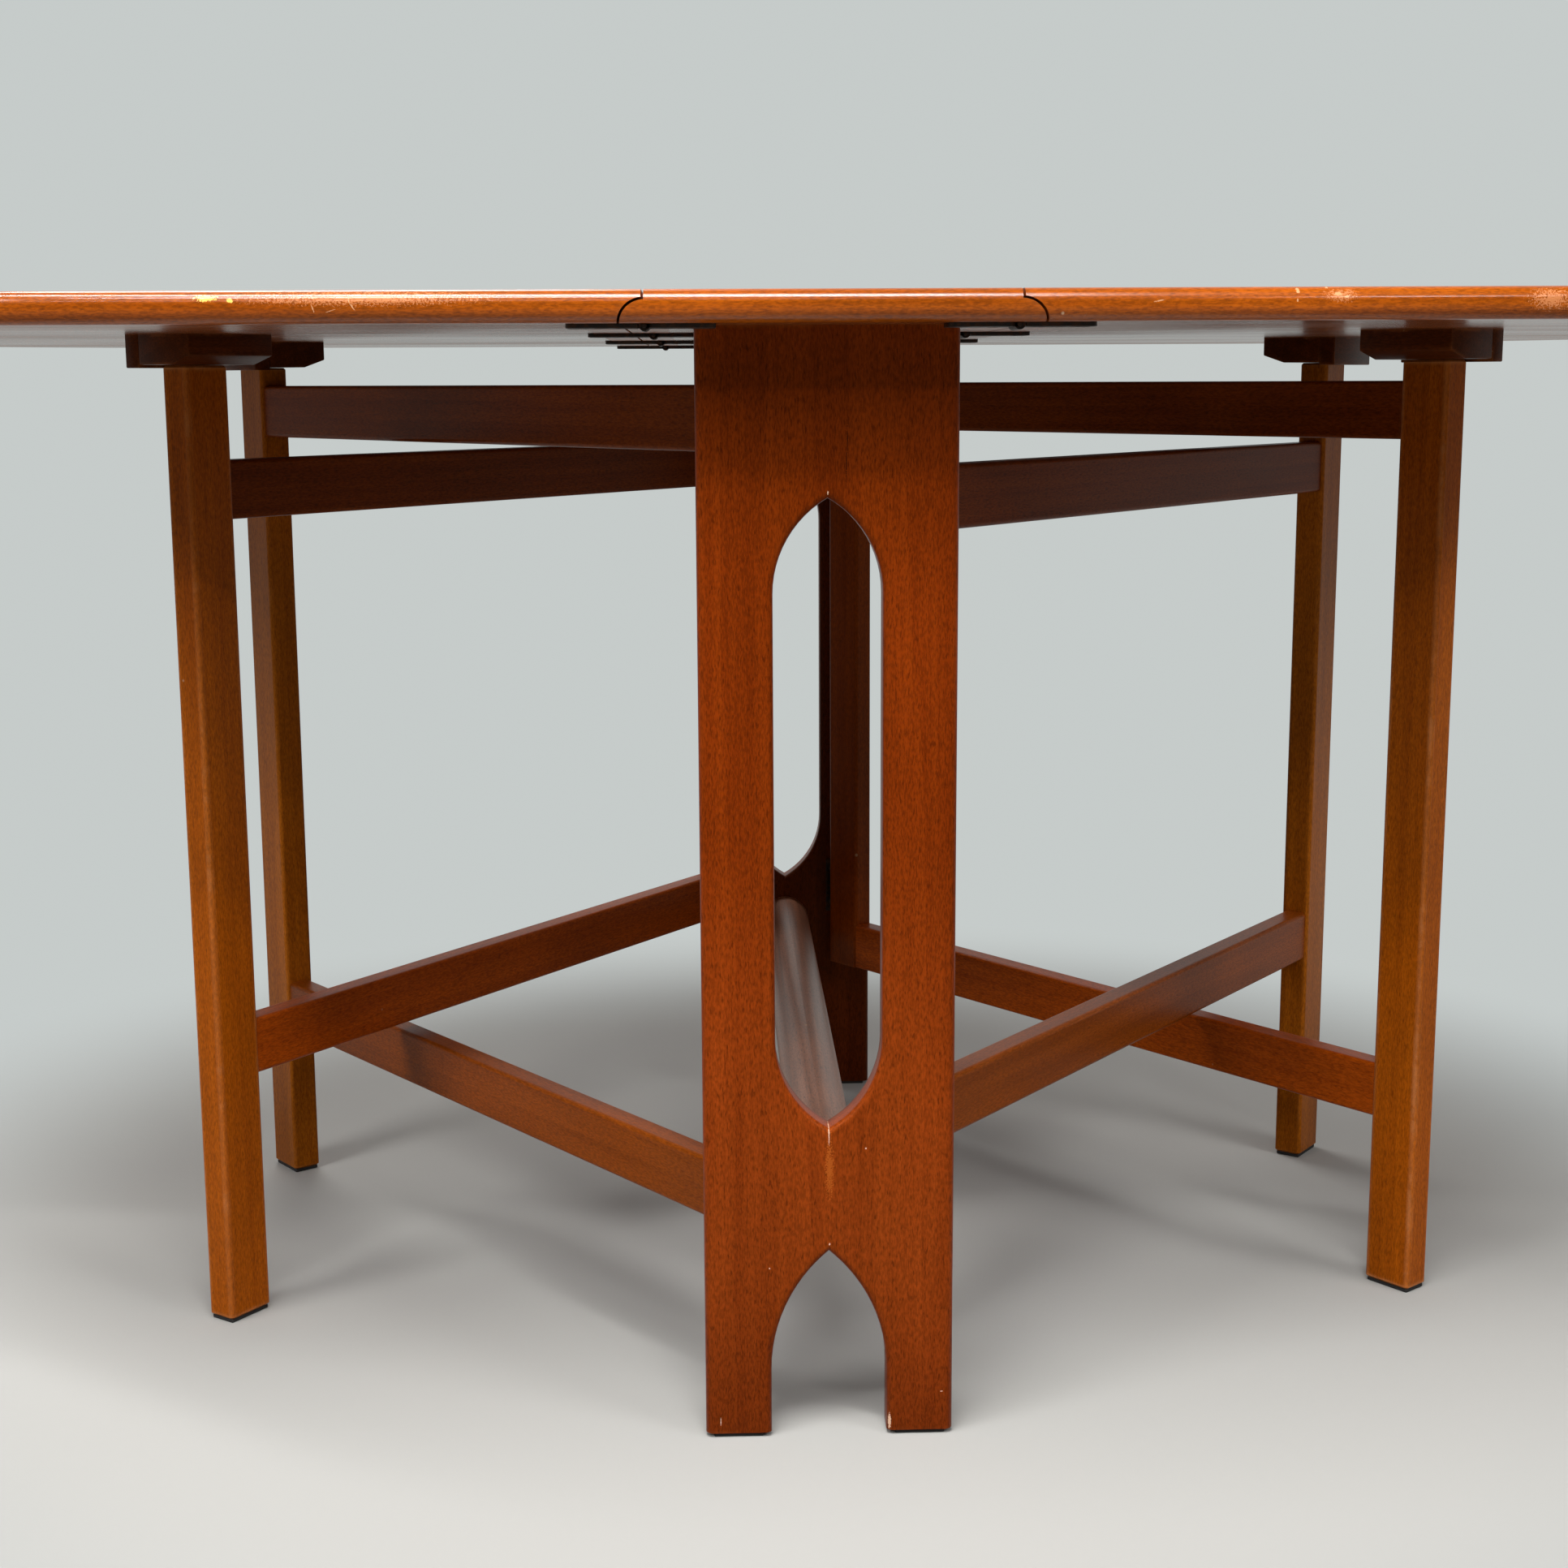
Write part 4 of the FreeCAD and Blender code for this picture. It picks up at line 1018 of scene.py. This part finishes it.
inner_y = (board_high.y - board_low.y) / 6  # a third of the way from the middle to an end
outer_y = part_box("leaf_hinge_straps_right")[1].y - half_width
half_turn = Matrix.Rotation(math.pi, 4, "Z")
for pattern, node_prefix in ((strap, "leaf_hinge_straps_"), (plate, "centre_hinge_plates_"),
                             (pin, "leaf_hinge_pins_")):
    for side, turn in (("left", half_turn), ("right", Matrix.Identity(4))):
        copies = [placed_copy(pattern, turn @ Matrix.Translation((0, y, 0)))
                  for y in (-outer_y, -inner_y, inner_y, outer_y)]
        node_name = node_prefix + side
        body = "leaf_" + side if pattern == strap else "frame"
        dress(joined(copies, node_name + "_made"), body, node_name)
    discard(pattern)

# ==== Gate hinges ====
# Two steel butt hinges to a gate, between the stile's end and the face of the
# panel, with their pins at the gate's outer corner.

BUTT_HEIGHT = 0.050
BUTT_WIDTH = 0.015
BUTT_THICKNESS = 0.0015
BUTT_EDGE = 0.0003
BUTT_KNUCKLE = 0.0030
BUTT_PIN = 0.0014
BUTT_GAP = 0.0033  # pin's line to the wood on either side
BUTT_NECK_LAP = 0.0004
BUTT_SCREW = 0.72  # size of its screws, against the strap's
BUTT_HOLE_DEPTH = 0.0010
BUTT_SCREW_REACH = 0.0100
BUTT_SCREW_Z = (-0.0160, 0.0160)

small_screw = placed_copy(screw, Matrix.Scale(BUTT_SCREW, 4))
half_butt = BUTT_HEIGHT / 2
butt_third = (BUTT_HEIGHT - 2 * KNUCKLE_GAP) / 3


def butt_leaf(name, outward, spans):
    """One leaf, drawn with the pin on Z, the plate along +Y and its back to the wood on X."""
    wood_x = -outward * BUTT_GAP
    face_x = wood_x + outward * BUTT_THICKNESS
    low_x, high_x = sorted((wood_x, face_x))
    leaf = block_between(name, (low_x, BUTT_GAP, -half_butt), (high_x, BUTT_WIDTH, half_butt),
                         hinge_steel)
    places = [(Vector((face_x, BUTT_SCREW_REACH, z)), Vector((outward, 0, 0)))
              for z in BUTT_SCREW_Z]
    ease_edges(leaf, BUTT_EDGE, lambda first, last: abs(first.x - face_x) < WELD
               and abs(last.x - face_x) < WELD)
    sunk_holes(leaf, places, SCREW_RADIUS * BUTT_SCREW, BUTT_HOLE_DEPTH)
    parts = [leaf]
    for low, high in spans:
        parts.append(block_between("neck", (low_x, 0, low),
                                   (high_x, BUTT_GAP + BUTT_NECK_LAP, high), hinge_steel))
        parts.append(barrel(Vector((0, 0, low)), Vector((0, 0, high)), BUTT_KNUCKLE, BUTT_PIN))
    return with_screws(joined(parts, name), small_screw, places)


outer_start = butt_third / 2 + KNUCKLE_GAP
gate_leaf = butt_leaf("gate_leaf", -1, [(-butt_third / 2, butt_third / 2)])
panel_leaf = butt_leaf("panel_leaf", 1, [(-half_butt, -outer_start), (outer_start, half_butt)])
butt_pin = domed_pin(Vector((0, 0, -half_butt - PIN_PROUD)),
                     Vector((0, 0, half_butt + PIN_PROUD)), BUTT_PIN)


def gate_frame(corner, heading):
    """Matrix from a gate's own directions (along it, towards its inner face, up) to the world."""
    turn_sign = -1 if corner in ("near_right", "far_left") else 1
    inward = Vector((-turn_sign * heading.y, turn_sign * heading.x, 0))
    axes = Matrix((heading, inward, Vector((0, 0, 1)))).transposed().to_4x4()
    pivot = Vector(joints["fold_" + corner]["pos_m"])
    pivot.z = 0
    return Matrix.Translation(pivot) @ axes


for corner in CORNERS:
    pins_low, pins_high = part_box("gate_hinge_pins_" + corner)
    middles = (pins_low.z + PIN_PROUD + half_butt, pins_high.z - PIN_PROUD - half_butt)
    shut_heading = Vector((0, -1 if corner.startswith("near") else 1, 0))
    opened = gate_frame(corner, gate_heading(corner))
    shut = gate_frame(corner, shut_heading)
    for pattern, matrix, node_prefix, body in (
            (gate_leaf, opened, "gate_hinge_leaves_", "gate_" + corner),
            (panel_leaf, shut, "panel_hinge_leaves_", "frame"),
            (butt_pin, shut, "gate_hinge_pins_", "frame")):
        copies = [placed_copy(pattern, matrix @ Matrix.Translation((0, 0, z))) for z in middles]
        node_name = node_prefix + corner
        dress(joined(copies, node_name + "_made"), body, node_name)
for pattern in (gate_leaf, panel_leaf, butt_pin, small_screw):
    discard(pattern)

# ==== Support blocks ====
# Under each leaf, a block takes the top of each leg; its near-black wood is
# painted shade. Its ramp leads the leg in, a deeper strip stops it, and two
# screws hold it to the leaf.

# painted shade: the blocks' wood is made near black
BLOCK_SHADED_PALE = (0.075, 0.014, 0.002, 1)
BLOCK_SHADED_DARK = (0.038, 0.007, 0.001, 1)
BLOCK_SHADED_PORE = (0.022, 0.005, 0.001, 1)
LEG_REACH = 0.641  # hinge pin to the middle of the leg
LEG_MIDDLE = 0.0095  # gate's outer face to the middle of the leg
BLOCK_INNER = 0.037  # middle of the leg to the block's ends
BLOCK_OUTER = 0.038
BLOCK_CLOSING = 0.037  # and to the side where the leg comes in
BLOCK_THICKNESS = 0.020
BLOCK_EDGE = 0.0008
STOP_FACE = 0.01205  # middle of the leg to the strip
STRIP_WIDTH = 0.013
STRIP_DROP = 0.002
RAMP_RUN = 0.018
RAMP_DROP = 0.006
BLOCK_SCREW_REACH = (-0.027, 0.028)
BLOCK_SCREW_ASIDE = 0.008  # from the middle of the leg, towards the ramp

block_bottom = board_low.z - BLOCK_THICKNESS
block_start = LEG_REACH - BLOCK_INNER
block_end = LEG_REACH + BLOCK_OUTER
closing_y = LEG_MIDDLE + BLOCK_CLOSING
stop_y = LEG_MIDDLE - STOP_FACE
for corner in CORNERS:
    heading = gate_heading(corner)
    opened = gate_frame(corner, heading)
    shaded_block_wood = timber("block_teak_" + corner, grain_along(heading), BLOCK_SHADED_PALE, BLOCK_SHADED_DARK,
                        BLOCK_SHADED_PORE, figure=0.3, pores=0.4, rub=0.35, chips=0.3, sheen=0.08)
    block = block_between("block", (block_start, stop_y, block_bottom),
                          (block_end, closing_y, board_low.z), shaded_block_wood)
    edit_whole(block, bpy.ops.mesh.bisect, plane_co=(0, closing_y - RAMP_RUN, block_bottom),
               plane_no=(0, RAMP_DROP, -RAMP_RUN), use_fill=True, clear_outer=True)
    strip = block_between("strip", (block_start, stop_y - STRIP_WIDTH, block_bottom - STRIP_DROP),
                          (block_end, stop_y, board_low.z), shaded_block_wood)
    for part in (block, strip):
        ease_edges(part, BLOCK_EDGE, lambda first, last: min(first.z, last.z) < board_low.z - WELD)
    places = [(Vector((LEG_REACH + reach, LEG_MIDDLE + BLOCK_SCREW_ASIDE, block_bottom)), below)
              for reach in BLOCK_SCREW_REACH]
    sunk_holes(block, places, SCREW_RADIUS, HOLE_DEPTH)
    made = with_screws(joined([block, strip], "support_block_made_" + corner), screw, places)
    made.data.transform(opened)
    if opened.determinant() < 0:
        made.data.flip_normals()
    dress(made, "leaf_" + corner.split("_")[1], "support_block_" + corner)

# ==== Cleat screws ====
# Three slotted screws in each corner batten go up into the centre board, and
# their heads stand a little proud of the wood.

CLEAT_SCREW_X = (-0.050, 0.0, 0.050)
CLEAT_SCREW_PROUD = 0.0008
CLEAT_SLOT_TURNS = (0.7, 0.9)  # turn of the first slot, and what each next one adds

first_turn, turn_step = CLEAT_SLOT_TURNS
for end in ("near", "far"):
    cleat_low, cleat_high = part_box("top_cleat_" + end)
    middle_y = (cleat_low.y + cleat_high.y) / 2
    heads = []
    for count, screw_x in enumerate(CLEAT_SCREW_X):
        place = Vector((screw_x, middle_y, cleat_low.z - CLEAT_SCREW_PROUD))
        spin = Matrix.Rotation(first_turn + turn_step * count, 4, "Z")
        over = Matrix.Rotation(math.pi, 4, "X") @ spin
        heads.append(placed_copy(screw, Matrix.Translation(place) @ over))
    dress(joined(heads, "cleat_screws_" + end), "frame", None)
discard(screw)

# ==== Pads ====
# Dense black felt under every foot, with its edges pressed round. The shapes
# are the CAD's own.

FELT = (0.014, 0.013, 0.013, 1)
FELT_FUZZ = (0.045, 0.043, 0.041, 1)
FELT_EDGE = 0.0009

felt, tree = new_material("black_felt")
fuzz = noise(tree, object_place(tree), scale=1500.0, detail=3.0, roughness=0.7)
feed(tree, tree.nodes["Principled BSDF"], {
    "Base Color": mix_colours(tree, fuzz, FELT, FELT_FUZZ),
    "Roughness": 0.95,
    "Normal": bumped(tree, fuzz, strength=1.0, distance=0.0004),
})
pad_bodies = {"leg_pad_" + corner: "gate_" + corner for corner in CORNERS}
pad_bodies.update({"panel_pads_near": "frame", "panel_pads_far": "frame"})
for name, body in pad_bodies.items():
    pad = welded_copy(name, name + "_felt")
    edit_whole(pad, bpy.ops.mesh.dissolve_limited, angle_limit=math.radians(1))
    edit_whole(pad, bpy.ops.mesh.bevel, offset=FELT_EDGE, segments=3, profile=0.5)
    give(pad, felt)
    dress(pad, body, name)
